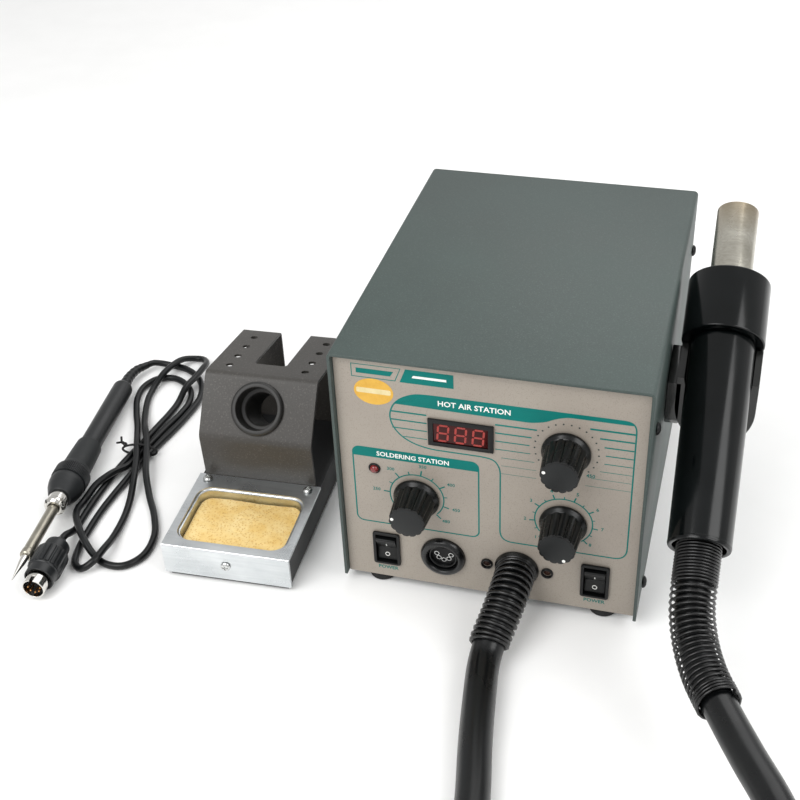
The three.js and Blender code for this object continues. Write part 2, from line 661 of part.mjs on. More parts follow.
function makeCradle() {
  const low = padHeight + sheet + gap;
  const footY = trayDepth + gap;
  const bends = [[footY, low], [footY, trayTop + 3], foldAt, crestAt, tailAt, [tailAt[0], low]];
  const bent = across(stripOutline(bends, sheet), cradleWidth);
  const slotHalf = slotWidth / 2;
  const slot = box(-slotHalf, slotHalf, slotFront, tailAt[0] + 5, tailAt[1] - slotDrop, crestAt[1] + 5);
  const holes = [-1, 1].flatMap((side) => [113, 129, 146, 163].map((y) => {
    return rod(2.6, 70, 110, 10).translate(side * 27, y, 0);
  }));
  const cupHole = placeCup(rod(cupRadius + slack, -cupStep - 20, 12, 24));
  const body = [slot, ...holes, cupHole].reduce((rest, tool) => rest.subtract(solid(tool)), solid(bent));
  add('stand_cradle', surface(body), standPaint, stand);
  const cup = turned([
    [cupThroat, -cupDepth], [cupThroat + cupWall, -cupDepth], [cupThroat + cupWall, -cupStep - 2],
    [cupRadius, -cupStep], [cupRadius, gap], [cupFlange, gap], [cupFlange, 1.6], [cupFlange - 1.4, 2.8],
    [cupRadius - cupWall, 2.8], [cupRadius - cupWall, -cupStep], [cupThroat, -cupStep - 0.5],
  ], 24);
  add('cradle_cup', placeCup(cup), mattBlack, stand);
}

// the cup stands square to the cradle's upper front face
function placeCup(geometry) {
  return geometry.rotateX(faceRise).translate(0, cupAt[0], cupAt[1]);
}

// ---------- soldering iron ----------
const ironPitch = Math.PI / 2 - THREE.MathUtils.degToRad(ironRise);
const ironLie = new THREE.Euler(ironPitch, 0, THREE.MathUtils.degToRad(ironTurn), 'ZYX');
function makeIron() {
  const iron = new THREE.Group();
  iron.position.set(...ironRing);
  iron.rotation.copy(ironLie);
  group.add(iron);
  const bore = ironBarrelRadius + gap;
  const noseEnd = 21;
  const nutEnd = 33;
  const handle = turned([
    [0, handleEnd], [handleRadius - 1, handleEnd], [handleRadius, handleEnd + 3], [handleRadius, gripEnd],
    [gripRadius, gripEnd + 1], [gripRadius + 1.2, -10],
    [ringRadius - 1, -6.5], [ringRadius, -5], [ringRadius, 5], [ringRadius - 1, 6.5],
    [ringRadius - 1.5, 12], [nutRadius + 0.5, noseEnd], [0, noseEnd],
  ], 20);
  add('iron_handle', cut(handle, rod(bore, 10, noseEnd + 9, 14)), mattBlack, iron);
  const nut = turned([
    [bore, noseEnd + gap], [nutRadius - 0.5, noseEnd + gap], [nutRadius - 0.5, nutEnd - 5],
    [nutRadius, nutEnd - 4.5], [nutRadius, nutEnd - 2], [nutRadius - 1.6, nutEnd], [bore, nutEnd],
  ], 18);
  add('iron_nut', nut, brightSteel, iron);
  add('iron_barrel', rod(ironBarrelRadius, 10 + gap, barrelEnd, 14), brightSteel, iron);
  const tip = turned([
    [0, barrelEnd + gap], [2.7, barrelEnd + gap], [2.4, barrelEnd + 7], [0.4, tipEnd], [0, tipEnd],
  ], 12);
  add('iron_tip', tip, brightSteel, iron);
}

// the relief leaves the handle's end and curls down to the cord
const ironWay = new THREE.Vector3(0, 0, 1).applyEuler(ironLie);
const reliefStart = new THREE.Vector3(...ironRing).addScaledVector(ironWay, handleEnd - gap);
const reliefRoute = [[0, 0, 0], [-1.5, 11.6, 0], [-0.3, 23.6, -0.4], [4.6, 33.1, -1.2]].map(([x, y, z]) => [
  reliefStart.x + x, reliefStart.y + y, reliefStart.z + z]);
const cordRoute = [
  [-324.2, 74, 6.8], [-321.5, 78.3, 6.2], [-315.5, 81.5, 4.4], [-306, 82.5, 2.9], [-295, 80.5, 2.9], [-282, 73, 2.9],
  [-272, 60, 2.9], [-267, 44, 2.9], [-268, 22, 2.9], [-271, 1, 2.9], [-274, -15, 2.9], [-277, -33, 2.9],
  [-279, -54, 2.9], [-281, -77, 2.9], [-282, -99, 2.9], [-281, -121, 2.9], [-279, -139, 2.9], [-275, -151, 2.9],
  [-267, -156, 4.5], [-260, -151, 8.6], [-258.5, -140, 9], [-260, -124, 5], [-263, -101, 2.9], [-267, -82, 3.6],
  [-272, -63, 8.4], [-279, -44, 8.6], [-287, -26, 8.6], [-298, -3, 5], [-308, 16, 2.9], [-315.5, 34, 2.9],
  [-317, 50, 2.9], [-311, 62, 2.9], [-299, 66, 2.9], [-287, 61, 2.9], [-277.5, 51, 2.9], [-273, 37, 2.9],
  [-274, 20, 2.9], [-277.5, 1, 2.9], [-280, -15, 2.9], [-282.7, -33, 2.9], [-285, -49, 4.6], [-289.5, -63, 8.6],
  [-295.5, -77, 7.6], [-298.5, -91, 3.6], [-297.5, -102, 5.6], [-292.5, -113, 8.6], [-286, -122, 8.7],
  [-277, -132.5, 8.7], [-267, -140.5, 4.6], [-255, -146.5, 2.9], [-242, -145.5, 2.9], [-233.5, -134, 2.9],
  [-234, -114, 2.9], [-243, -94, 2.9], [-256, -74, 3.4], [-265.5, -57, 8.4], [-273, -40, 8.6], [-281, -22, 8.8],
  [-288, -9, 8.8], [-296, 6, 4.6], [-302, 20, 2.9], [-307, 36, 2.9], [-308, 49, 4], [-305.5, 62, 8.4],
  [-302, 76, 9.2], [-299, 88, 6.6], [-292.5, 95.5, 3.2], [-286, 96, 3.2], [-279.5, 89, 5.4], [-277, 76, 8.6],
  [-278, 62, 8.8], [-280, 50, 8.4], [-281.3, 35, 3], [-282, 20, 2.9], [-284, 4, 2.9], [-286.2, -14, 2.9],
  [-288.9, -33, 2.9], [-291, -50, 2.9], [-292, -72, 2.9], [-292, -92, 2.9], [-291.3, -110, 2.9],
  [-290.4, -119, 3.2], [-289.8, -127, 6.8], [-289.2, -135, 11], [-288.6, -142.4, 11.8],
];

function makeCord() {
  add('iron_relief', tube(reliefRoute, reliefRadius, 12, 6), rubberBlack);
  add('iron_cord', tube(cordRoute, cordRadius, 8, 15), rubberBlack);
  const plug = new THREE.Group();
  plug.position.set(...plugAt);
  plug.rotation.set(Math.PI / 2, 0, THREE.MathUtils.degToRad(plugTurn), 'ZYX');
  group.add(plug);
  const bodyEnd = 34;
  const ringStart = 11;
  const ringEnd = bodyEnd + 2;
  const mouth = plugShellRadius + 1.3; // room round the metal shell
  const body = turned([
    [0, 0], [5, 0], [plugBodyRadius + 1.4, 3], [plugBodyRadius + 1.4, ringStart - 1],
    [plugBodyRadius, ringStart - 0.6], [plugBodyRadius, bodyEnd], [0, bodyEnd],
  ], 18);
  add('plug_body', body, mattBlack, plug);
  const ring = turned([
    [plugBodyRadius + gap, ringStart], [plugRingRadius - 1, ringStart], [plugRingRadius, ringStart + 2],
    [plugRingRadius, ringEnd - 9], [mouth + 0.9, ringEnd - 7], [mouth + 0.9, ringEnd], [mouth, ringEnd],
    [mouth, bodyEnd - 0.2], [plugBodyRadius + gap, bodyEnd - 0.2],
  ], 18);
  add('plug_ring', ring, mattBlack, plug);
  const shellEnd = 45;
  const insertEnd = 38;
  const shell = turned([
    [0, bodyEnd + gap], [plugShellRadius, bodyEnd + gap], [plugShellRadius, shellEnd],
    [plugShellRadius - 1, shellEnd], [plugShellRadius - 1, insertEnd], [0, insertEnd],
  ], 18);
  add('plug_shell', shell, brightSteel, plug);
}

makeCase();
makeFrontPanel();
makeRearPanel();
makeInsides();
makeDisplay();
makeSwitch('iron_switch', ironSwitchAt);
makeSwitch('air_switch', airSwitchAt);
makePotAndKnob('iron', ironKnobAt, THREE.MathUtils.degToRad(174));
makePotAndKnob('heat', heatKnobAt, THREE.MathUtils.degToRad(167));
makePotAndKnob('air', airKnobAt, THREE.MathUtils.degToRad(-60));
makeSocket();
makeHoseOutlet();
makeGun();
makeHose();
makeHolder();
makeStand();
makeIron();
makeCord();

// the frame's origin: on the table, under the middle of everything but the free cords
const cordPieces = new Set(['air_hose', 'iron_cord', 'plug_body', 'plug_ring', 'plug_shell']);
const extent = new THREE.Box3();
group.updateMatrixWorld(true);
group.traverse((item) => {
  if (item.isMesh && !cordPieces.has(item.name)) extent.expandByObject(item, true);
});
const middle = extent.getCenter(new THREE.Vector3());
group.position.set(-middle.x, -middle.y, -extent.min.z);

export default group;
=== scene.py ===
import math

import bmesh
import bpy
from mathutils import Matrix, Vector


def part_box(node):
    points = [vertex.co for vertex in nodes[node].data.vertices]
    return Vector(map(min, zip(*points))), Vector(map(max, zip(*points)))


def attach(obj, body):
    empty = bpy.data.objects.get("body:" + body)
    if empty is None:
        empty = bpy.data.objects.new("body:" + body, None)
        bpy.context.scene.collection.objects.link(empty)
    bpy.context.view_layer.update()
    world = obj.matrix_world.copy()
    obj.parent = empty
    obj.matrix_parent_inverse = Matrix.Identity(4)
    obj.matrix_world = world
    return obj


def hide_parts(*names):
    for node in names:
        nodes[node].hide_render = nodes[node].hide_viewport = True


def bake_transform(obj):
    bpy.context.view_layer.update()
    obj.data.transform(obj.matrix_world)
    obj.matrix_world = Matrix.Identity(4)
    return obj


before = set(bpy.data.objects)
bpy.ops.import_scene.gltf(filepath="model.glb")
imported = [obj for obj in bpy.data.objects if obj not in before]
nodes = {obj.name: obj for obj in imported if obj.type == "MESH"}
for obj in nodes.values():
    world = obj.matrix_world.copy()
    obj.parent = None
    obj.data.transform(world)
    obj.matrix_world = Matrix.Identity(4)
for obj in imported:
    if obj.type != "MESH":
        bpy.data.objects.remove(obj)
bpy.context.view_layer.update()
mm = 0.001
coverLow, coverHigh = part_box("top_cover")
home = Vector(((coverLow.x + coverHigh.x) / 2, (coverLow.y + coverHigh.y) / 2, 0))


def shift(x, y, z=0):
    return Matrix.Translation((x, y, z))


def turned(degrees, axis):
    return Matrix.Rotation(math.radians(degrees), 4, axis)


def polar(degrees, radius, upright=None):
    angle = math.radians(degrees)
    return radius * math.cos(angle), (upright or radius) * math.sin(angle)


def place(x=0, y=0, z=0, turn=0, lean=0):  # millimetres round the case's middle, into the row frame
    return Matrix.Translation(home) @ Matrix.Scale(mm, 4) @ shift(x, y, z) @ turned(turn, "Z") @ turned(lean, "X")


def at(point):
    return home + Vector(point) * mm


def added(name, data):
    item = bpy.data.objects.new(name, data)
    bpy.context.scene.collection.objects.link(item)
    return item


# stands a shape drawn as (depth, height) upright, with its thickness along X
standing = Matrix(((0, 0, 1, 0), (1, 0, 0, 0), (0, 1, 0, 0), (0, 0, 0, 1)))


# camera and light
cameraSetup = {"spot": (131.39, -704.58, 591.63), "azimuth": 17.369, "elevation": 35.733, "roll": -2.831,
               "lens": 58.597}


def makeCamera(setup):
    azimuth, elevation, roll = (math.radians(setup[k]) for k in ("azimuth", "elevation", "roll"))
    level = Vector((math.cos(azimuth), math.sin(azimuth), 0))
    away = Vector((math.sin(azimuth), -math.cos(azimuth), 0))
    back = away * math.cos(elevation) + Vector((0, 0, math.sin(elevation)))
    rise = back.cross(level)
    right = math.cos(roll) * level + math.sin(roll) * rise
    up = math.cos(roll) * rise - math.sin(roll) * level
    lens = bpy.data.cameras.new("camera")
    lens.lens = setup["lens"]
    lens.sensor_width = 36
    lens.clip_start, lens.clip_end = 0.01, 50
    camera = added("camera", lens)
    turned = Matrix((right, up, back)).transposed().to_4x4()
    camera.matrix_world = Matrix.Translation(at(setup["spot"])) @ turned
    bpy.context.scene.camera = camera


lightSetup = {
    "sky": 0.69,
    "lamps": [
        {"spot": (-500, -900, 1100), "aim": (0, 0, 60), "size": 900, "power": 12},
        {"spot": (900, -300, 900), "aim": (60, -40, 90), "size": 700, "power": 6},
        {"spot": (200, 900, 1200), "aim": (0, 0, 120), "size": 1200, "power": 7},
    ],
}


def makeLight(setup):
    world = bpy.data.worlds.new("studio")
    world.use_nodes = True
    world.node_tree.nodes["Background"].inputs["Color"].default_value = (1, 1, 1, 1)
    world.node_tree.nodes["Background"].inputs["Strength"].default_value = setup["sky"]
    bpy.context.scene.world = world
    for index, lamp in enumerate(setup["lamps"]):
        light = bpy.data.lights.new(f"softbox{index + 1}", "AREA")
        light.size = lamp["size"] * mm
        light.energy = lamp["power"]
        item = added(light.name, light)
        item.location = at(lamp["spot"])
        item.rotation_euler = (at(lamp["spot"]) - at(lamp["aim"])).to_track_quat("Z", "Y").to_euler()
    view = bpy.context.scene.view_settings
    view.view_transform = "Standard"
    view.look = "None"


makeCamera(cameraSetup)
makeLight(lightSetup)
print("camera and light ready")


# shapes, in millimetres
def boxShape(x0, x1, y0, y1, z0, z1, bevel=0.0, segments=2):
    bm = bmesh.new()
    size = Matrix.Diagonal((x1 - x0, y1 - y0, z1 - z0, 1))
    middle = shift((x0 + x1) / 2, (y0 + y1) / 2, (z0 + z1) / 2)
    bmesh.ops.create_cube(bm, size=1, matrix=middle @ size)
    if bevel:
        roundEdges(bm, bm.edges[:], bevel, segments)
    return bm


def roundEdges(bm, edges, width, segments=2):
    bmesh.ops.bevel(bm, geom=edges, offset=width, offset_type="OFFSET", segments=segments, profile=0.5,
                    affect="EDGES", clamp_overlap=True, material=-1)


def sharpEdges(bm, degrees=40):
    limit = math.radians(degrees)
    return [e for e in bm.edges if len(e.link_faces) == 2 and e.calc_face_angle(0) > limit]


def ends(edge, axis):
    return [v.co[axis] for v in edge.verts]


def soften(outline, radius, steps=3, closed=False):  # rounds the corners of a drawn outline
    points = [Vector(p) for p in outline]
    count = len(points)
    rounded = []
    for index, corner in enumerate(points):
        if not closed and index in (0, count - 1):
            rounded.append(corner)
            continue
        before = points[index - 1] - corner
        after = points[(index + 1) % count] - corner
        start = corner + before * min(radius / max(before.length, 1e-6), 0.45)
        end = corner + after * min(radius / max(after.length, 1e-6), 0.45)
        for step in range(steps + 1):
            t = step / steps
            rounded.append(start * (1 - t) ** 2 + corner * 2 * t * (1 - t) + end * t * t)
    return [tuple(p) for p in rounded]


def spun(outline, steps=48, closed=False):  # (radius, height) pairs turned round Z
    bm = bmesh.new()
    ring = [bm.verts.new((radius, 0, height)) for radius, height in outline]
    edges = [bm.edges.new(pair) for pair in zip(ring, ring[1:])]
    if closed:
        edges.append(bm.edges.new((ring[-1], ring[0])))
    bmesh.ops.spin(bm, geom=ring + edges, cent=(0, 0, 0), axis=(0, 0, 1), angle=2 * math.pi, steps=steps,
                   use_merge=True)
    bmesh.ops.remove_doubles(bm, verts=bm.verts, dist=1e-3)
    return bm


def lathed(outline, radius, steps, around, closed=False):  # the same with its corners rounded
    return spun(soften(outline, radius, steps, closed), around, closed)


def rod(radius, low, high, around, corner=0.0, steps=2):
    outline = [(0, low), (radius, low), (radius, high), (0, high)]
    return lathed(outline, corner, steps, around) if corner else spun(outline, around)


def pipe(inner, outer, low, high, around, corner, steps):
    return lathed([(inner, low), (outer, low), (outer, high), (inner, high)], corner, steps, around, True)


def slab(outline, low, high, bevel=0.0, segments=2):  # a drawn outline given thickness along Z
    bm = bmesh.new()
    face = bm.faces.new([bm.verts.new((x, y, low)) for x, y in outline])
    grown = bmesh.ops.extrude_face_region(bm, geom=[face])
    top = [v for v in grown["geom"] if isinstance(v, bmesh.types.BMVert)]
    bmesh.ops.translate(bm, verts=top, vec=(0, 0, high - low))
    bmesh.ops.recalc_face_normals(bm, faces=bm.faces)
    if bevel:
        rim = [e for e in bm.edges if abs(e.verts[0].co.z - e.verts[1].co.z) < 1e-4]
        roundEdges(bm, rim, bevel, segments)
    return bm


def roundedBox(width, height, radius, x=0, y=0, steps=6):
    outline = []
    for sx, sy, start in ((1, 1, 0), (-1, 1, 90), (-1, -1, 180), (1, -1, 270)):
        middleX, middleY = x + sx * (width / 2 - radius), y + sy * (height / 2 - radius)
        outline += arc(middleX, middleY, radius, start, start + 90, steps)
    return outline


def arc(x, y, radius, start, end, steps=24):
    angles = [math.radians(start + (end - start) * k / steps) for k in range(steps + 1)]
    return [(x + radius * math.cos(a), y + radius * math.sin(a)) for a in angles]


def smoothRoute(points, spacing):  # an even run of points on the curve through the given ones
    knots = [Vector(p) for p in points]
    knots = [2 * knots[0] - knots[1]] + knots + [2 * knots[-1] - knots[-2]]
    dense = []
    for a, b, c, d in zip(knots, knots[1:], knots[2:], knots[3:]):
        t1 = (b - a).length ** 0.5
        t2 = t1 + (c - b).length ** 0.5
        t3 = t2 + (d - c).length ** 0.5
        for step in range(24):
            t = t1 + (t2 - t1) * step / 24
            p1 = a * (t1 - t) / t1 + b * t / t1
            p2 = b * (t2 - t) / (t2 - t1) + c * (t - t1) / (t2 - t1)
            p3 = c * (t3 - t) / (t3 - t2) + d * (t - t2) / (t3 - t2)
            q1 = p1 * (t2 - t) / t2 + p2 * t / t2
            q2 = p2 * (t3 - t) / (t3 - t1) + p3 * (t - t1) / (t3 - t1)
            dense.append(q1 * (t2 - t) / (t2 - t1) + q2 * (t - t1) / (t2 - t1))
    dense.append(knots[-2])
    reach = [0.0]
    for a, b in zip(dense, dense[1:]):
        reach.append(reach[-1] + (b - a).length)
    count = max(2, round(reach[-1] / spacing))
    even, index = [], 0
    for k in range(count + 1):
        want = reach[-1] * k / count
        while index < len(reach) - 2 and reach[index + 1] < want:
            index += 1
        share = (want - reach[index]) / max(reach[index + 1] - reach[index], 1e-9)
        even.append(dense[index].lerp(dense[index + 1], min(share, 1)))
    return even


def shapeOf(item):  # an object's finished shape
    bpy.context.view_layer.update()
    mesh = bpy.data.meshes.new_from_object(item.evaluated_get(bpy.context.evaluated_depsgraph_get()))
    bm = bmesh.new()
    bm.from_mesh(mesh)
    bpy.data.meshes.remove(mesh)
    return bm


def curveMesh(data):
    item = added("drawn", data)
    bm = shapeOf(item)
    bpy.data.objects.remove(item)
    bpy.data.curves.remove(data)
    return bm


def wire(points, radius, roundness=3, closed=False, radii=None):
    data = bpy.data.curves.new("wire", "CURVE")
    data.dimensions = "3D"
    data.bevel_depth = radius
    data.bevel_resolution = roundness
    data.use_fill_caps = not closed
    spline = data.splines.new("POLY")
    spline.points.add(len(points) - 1)
    for index, (knot, point) in enumerate(zip(spline.points, points)):
        knot.co = (*Vector(point).to_3d(), 1)
        if radii:
            knot.radius = radii[index]
    spline.use_cyclic_u = closed
    return curveMesh(data)


def lettering(words, size, x, y, heavy=0.0):
    data = bpy.data.curves.new("words", "FONT")
    data.body = words
    data.size = size
    data.align_x, data.align_y = "CENTER", "CENTER"
    data.extrude = 0.03
    data.offset = heavy
    data.resolution_u = 2
    bm = curveMesh(data)
    bmesh.ops.translate(bm, verts=bm.verts, vec=(x, y, 0.05))
    return bm


def join(first, *others):
    for other in others:
        mesh = bpy.data.meshes.new("joining")
        other.to_mesh(mesh)
        other.free()
        first.from_mesh(mesh)
        bpy.data.meshes.remove(mesh)
    return first


def moved(bm, matrix):
    bmesh.ops.transform(bm, matrix=matrix, verts=bm.verts)
    return bm


def cutBy(bm, *tools):  # takes the tools' shapes out of the piece
    made = []
    for shape in (bm, join(*tools)):
        mesh = bpy.data.meshes.new("cutting")
        bmesh.ops.recalc_face_normals(shape, faces=shape.faces)
        shape.to_mesh(mesh)
        shape.free()
        made.append(added("cutting", mesh))
    change = made[0].modifiers.new("cut", "BOOLEAN")
    change.operation, change.solver, change.object = "DIFFERENCE", "EXACT", made[1]
    change.use_self = True
    result = shapeOf(made[0])
    for item in made:
        mesh = item.data
        bpy.data.objects.remove(item)
        bpy.data.meshes.remove(mesh)
    return result


def plainMaterial(name):
    return bpy.data.materials.get(name) or bpy.data.materials.new(name)


# makes the shape a piece: spot is the body it rides and its place, node the solid it stands for
def settle(bm, name, material, spot, node="", sharp=38, recalc=True):
    body, where = spot
    moved(bm, where)
    bmesh.ops.remove_doubles(bm, verts=bm.verts, dist=2e-7)
    if recalc:
        bmesh.ops.recalc_face_normals(bm, faces=bm.faces)
    for face in bm.faces:
        face.smooth = True
    for edge in sharpEdges(bm, sharp):
        edge.smooth = False
    mesh = bpy.data.meshes.new(name)
    bm.to_mesh(mesh)
    bm.free()
    piece = added(name, mesh)
    mesh.materials.append(plainMaterial(material))
    if body:
        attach(piece, body)
    if node:
        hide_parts(node)
    return piece


def polish(piece, width, segments=2, angle=35):
    bevel = piece.modifiers.new("edges", "BEVEL")
    bevel.width = width * mm
    bevel.segments = segments
    bevel.limit_method = "ANGLE"
    bevel.angle_limit = math.radians(angle)
    return piece


# the free cords, first
hoseSetup = {"radius": 9.75, "step": 5.0, "roundness": 7}
panelGuardRoute = [
    (18.5, -121.9, 32), (18.4, -128, 31.9), (17.4, -140, 29), (14.6, -155, 21.2), (12.3, -164.5, 15.9),
    (11.9, -168.6, 13.9),
]
gunGuardRoute = [
    (126, -119.9, 86.5), (126.2, -137, 76.7), (126.3, -147, 71), (127, -162, 62.5), (131.5, -180, 54.5),
    (138.5, -198, 50.5), (147.4, -216, 50.2),
]
hoseRoute = [
    (148, -217.2, 50.2), (163, -247, 52), (179, -278, 55), (199, -322, 53), (214, -368, 38), (218, -414, 18),
    (206, -458, 10.5), (174, -492, 9.85), (130, -505, 9.85), (86, -494, 9.85), (56, -462, 9.85), (42, -416, 9.85),
    (37, -366, 9.85), (32, -318, 9.85), (27, -277, 9.85), (20, -240, 9.85), (14.5, -205, 9.85), (11.7, -184, 9.9),
    (11.4, -174.3, 11.2), (11.85, -169.1, 13.6),
]
reliefRoute = [(-329.1, 40.4, 8), (-330.6, 52, 8), (-329.4, 64, 7.6), (-324.5, 73.5, 6.8)]
cordSetup = {"radius": 2.5, "step": 3.0, "roundness": 4, "lying": 2.9}
cordPoints = [  # those without a height lie on the table
    (-324.2, 74, 6.8), (-321.5, 78.3, 6.2), (-315.5, 81.5, 4.4), (-306, 82.5), (-295, 80.5), (-282, 73),
    (-272, 60), (-267, 44), (-268, 22), (-271, 1), (-274, -15), (-277, -33), (-279, -54), (-281, -77),
    (-282, -99), (-281, -121), (-279, -139), (-275, -151), (-267, -156, 4.5), (-260, -151, 8.6),
    (-258.5, -140, 9), (-260, -124, 5), (-263, -101), (-267, -82, 3.6), (-272, -63, 8.4), (-279, -44, 8.6),
    (-287, -26, 8.6), (-298, -3, 5), (-308, 16), (-315.5, 34), (-317, 50), (-311, 62), (-299, 66), (-287, 61),
    (-277.5, 51), (-273, 37), (-274, 20), (-277.5, 1), (-280, -15), (-282.7, -33), (-285, -49, 4.6),
    (-289.5, -63, 8.6), (-295.5, -77, 7.6), (-298.5, -91, 3.6), (-297.5, -102, 5.6), (-292.5, -113, 8.6),
    (-286, -122, 8.7), (-277, -132.5, 8.7), (-267, -140.5, 4.6), (-255, -146.5), (-242, -145.5), (-233.5, -134),
    (-234, -114), (-243, -94), (-256, -74, 3.4), (-265.5, -57, 8.4), (-273, -40, 8.6), (-281, -22, 8.8),
    (-288, -9, 8.8), (-296, 6, 4.6), (-302, 20), (-307, 36), (-308, 49, 4), (-305.5, 62, 8.4), (-302, 76, 9.2),
    (-299, 88, 6.6), (-292.5, 95.5, 3.2), (-286, 96, 3.2), (-279.5, 89, 5.4), (-277, 76, 8.6), (-278, 62, 8.8),
    (-280, 50, 8.4), (-281.3, 35, 3), (-282, 20), (-284, 4), (-286.2, -14), (-288.9, -33), (-291, -50),
    (-292, -72), (-292, -92), (-291.3, -110), (-290.4, -119, 3.2), (-289.8, -127, 6.8), (-289.2, -135, 11),
    (-288.6, -142.4, 11.8),
]
cordRoute = [(x, y, *(z or [cordSetup["lying"]])) for x, y, *z in cordPoints]


def routeLength(points):
    return sum((b - a).length for a, b in zip(points, points[1:]))


hosePath = smoothRoute(panelGuardRoute[:-1] + hoseRoute[::-1] + gunGuardRoute[::-1][1:], hoseSetup["step"])
hoseShape = wire(hosePath, hoseSetup["radius"], hoseSetup["roundness"])
hose = settle(hoseShape, "airHose", "hoseRubber", (None, place()), "air_hose")
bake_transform(hose)

cordPath = smoothRoute(cordRoute, cordSetup["step"])
cordShape = wire(cordPath, cordSetup["radius"], cordSetup["roundness"])
cord = settle(cordShape, "ironCord", "cordRubber", ("iron", place()), "iron_cord")
print("cords laid:", round(routeLength(hosePath)), "and", round(routeLength(cordPath)), "mm")


# finishes
def shade(code):  # screen colour to the shader's linear colour
    parts = [int(code[k:k + 2], 16) / 255 for k in (0, 2, 4)]
    return tuple(p / 12.92 if p <= 0.04045 else ((p + 0.055) / 1.055) ** 2.4 for p in parts) + (1,)


def link(start, end):
    start.id_data.links.new(start, end)


def coordinates(material, stretch=(1, 1, 1)):
    tree = material.node_tree.nodes
    source, mapping = tree.new("ShaderNodeTexCoord"), tree.new("ShaderNodeMapping")
    mapping.inputs["Scale"].default_value = stretch
    link(source.outputs["Object"], mapping.inputs["Vector"])
    return mapping.outputs["Vector"]


def noise(vector, scale, detail=3.0, roughness=0.5):
    node = vector.id_data.nodes.new("ShaderNodeTexNoise")
    node.inputs["Scale"].default_value = scale
    node.inputs["Detail"].default_value = detail
    node.inputs["Roughness"].default_value = roughness
    link(vector, node.inputs["Vector"])
    return node.outputs["Fac"]


def ranged(value, low, high, fromLow=0.3, fromHigh=0.7):
    node = value.id_data.nodes.new("ShaderNodeMapRange")
    for key, number in (("From Min", fromLow), ("From Max", fromHigh), ("To Min", low), ("To Max", high)):
        node.inputs[key].default_value = number
    link(value, node.inputs["Value"])
    return node.outputs["Result"]


def mixed(factor, first, second):  # colours as codes or as another mix
    node = factor.id_data.nodes.new("ShaderNodeMix")
    node.data_type = "RGBA"
    link(factor, node.inputs[0])
    for socket, colour in ((node.inputs[6], first), (node.inputs[7], second)):
        if isinstance(colour, str):
            socket.default_value = shade(colour)
        else:
            link(colour, socket)
    return node.outputs[2]


def bumped(height, strength, distance, below=None):
    node = height.id_data.nodes.new("ShaderNodeBump")
    node.inputs["Strength"].default_value = strength
    node.inputs["Distance"].default_value = distance * mm
    link(height, node.inputs["Height"])
    if below:
        link(below, node.inputs["Normal"])
    return node.outputs["Normal"]


def shaderOf(material):
    return material.node_tree.nodes["Principled BSDF"]


def newFinish(name, rough, metal=0.0, **sockets):
    material = plainMaterial(name)
    material.use_nodes = True
    shader = shaderOf(material)
    shader.inputs["Roughness"].default_value = rough
    shader.inputs["Metallic"].default_value = metal
    for key, value in sockets.items():
        shader.inputs[key.replace("_", " ")].default_value = value
    return material


def worked(name, dark, light, rough, grain, depth, metal=0.0, patch=40, swing=0.06, stretch=(1, 1, 1),
           **sockets):  # broad mottling, a fine grain and uneven gloss
    material = newFinish(name, rough, metal, **sockets)
    shader = shaderOf(material)
    flat = coordinates(material)
    lined = coordinates(material, stretch)
    broad = noise(flat, patch, 4)
    fine = noise(lined, grain, 3)
    blend = material.node_tree.nodes.new("ShaderNodeMath")
    blend.operation = "MULTIPLY_ADD"
    link(fine, blend.inputs[0])
    blend.inputs[1].default_value = 0.5
    link(broad, blend.inputs[2])
    colour = mixed(ranged(blend.outputs[0], 0, 1, 0.5, 1.0), dark, light)
    link(colour, shader.inputs["Base Color"])
    link(ranged(broad, rough - swing, rough + swing), shader.inputs["Roughness"])
    link(bumped(fine, 0.6, depth), shader.inputs["Normal"])
    return material


def powderCoat(name, dark, light, fleck, rough, pimple, depth, fleckSize=1500):
    material = worked(name, dark, light, rough, pimple, depth, patch=18, swing=0.05)
    base = shaderOf(material).inputs["Base Color"]
    flecks = ranged(noise(coordinates(material), fleckSize, 1), 0, 0.55, 0.58, 0.72)
    link(mixed(flecks, base.links[0].from_socket, fleck), base)


powderCoat("coverPaint", "313c39", "3c4845", "4f5b57", 0.5, 900, 0.06)
powderCoat("panelPaint", "938a80", "9d958a", "7f766c", 0.42, 1400, 0.02)
powderCoat("standPaint", "35332f", "423f3c", "5d5955", 0.5, 650, 0.12, fleckSize=900)
worked("zincSheet", "8a8d8e", "aeb1b1", 0.42, 400, 0.01, metal=1.0, patch=60)
worked("trayAluminium", "c3c7c9", "dde0e1", 0.3, 500, 0.012, metal=1.0, stretch=(0.05, 1, 1))
worked("barrelSteel", "a8a498", "cdcabf", 0.27, 900, 0.01, metal=1.0, stretch=(0.06, 1, 1))
worked("screwSteel", "b9bab8", "d8d9d8", 0.2, 1200, 0.008, metal=1.0)
worked("chromeNut", "c9c7c2", "e4e2dc", 0.13, 700, 0.006, metal=1.0)
worked("ironBarrelSteel", "8f8b80", "b9b4a6", 0.33, 900, 0.012, metal=1.0, stretch=(1, 0.06, 1))
worked("pinBrass", "a5703f", "cf9a62", 0.28, 1500, 0.008, metal=1.0)
worked("blackScrew", "111213", "1d1e1f", 0.35, 1400, 0.01, metal=0.6)
worked("lockScrew", "2c1b14", "4a2d20", 0.45, 1400, 0.01, metal=0.5)
worked("knobPlastic", "040505", "090b0b", 0.28, 1800, 0.012, Specular_IOR_Level=0.35)
# the knob face is painted a shade lighter than the knob body: painted light on the face that turns to the lamps; its
# matte gloss is the face's own
worked("knobFacePlastic", "0a0c0d", "111415", 0.4, 2500, 0.02, Specular_IOR_Level=0.35)
worked("switchPlastic", "060707", "0d0e0f", 0.36, 2000, 0.012, Specular_IOR_Level=0.3)
worked("socketPlastic", "060707", "0d0e0f", 0.28, 1800, 0.01)
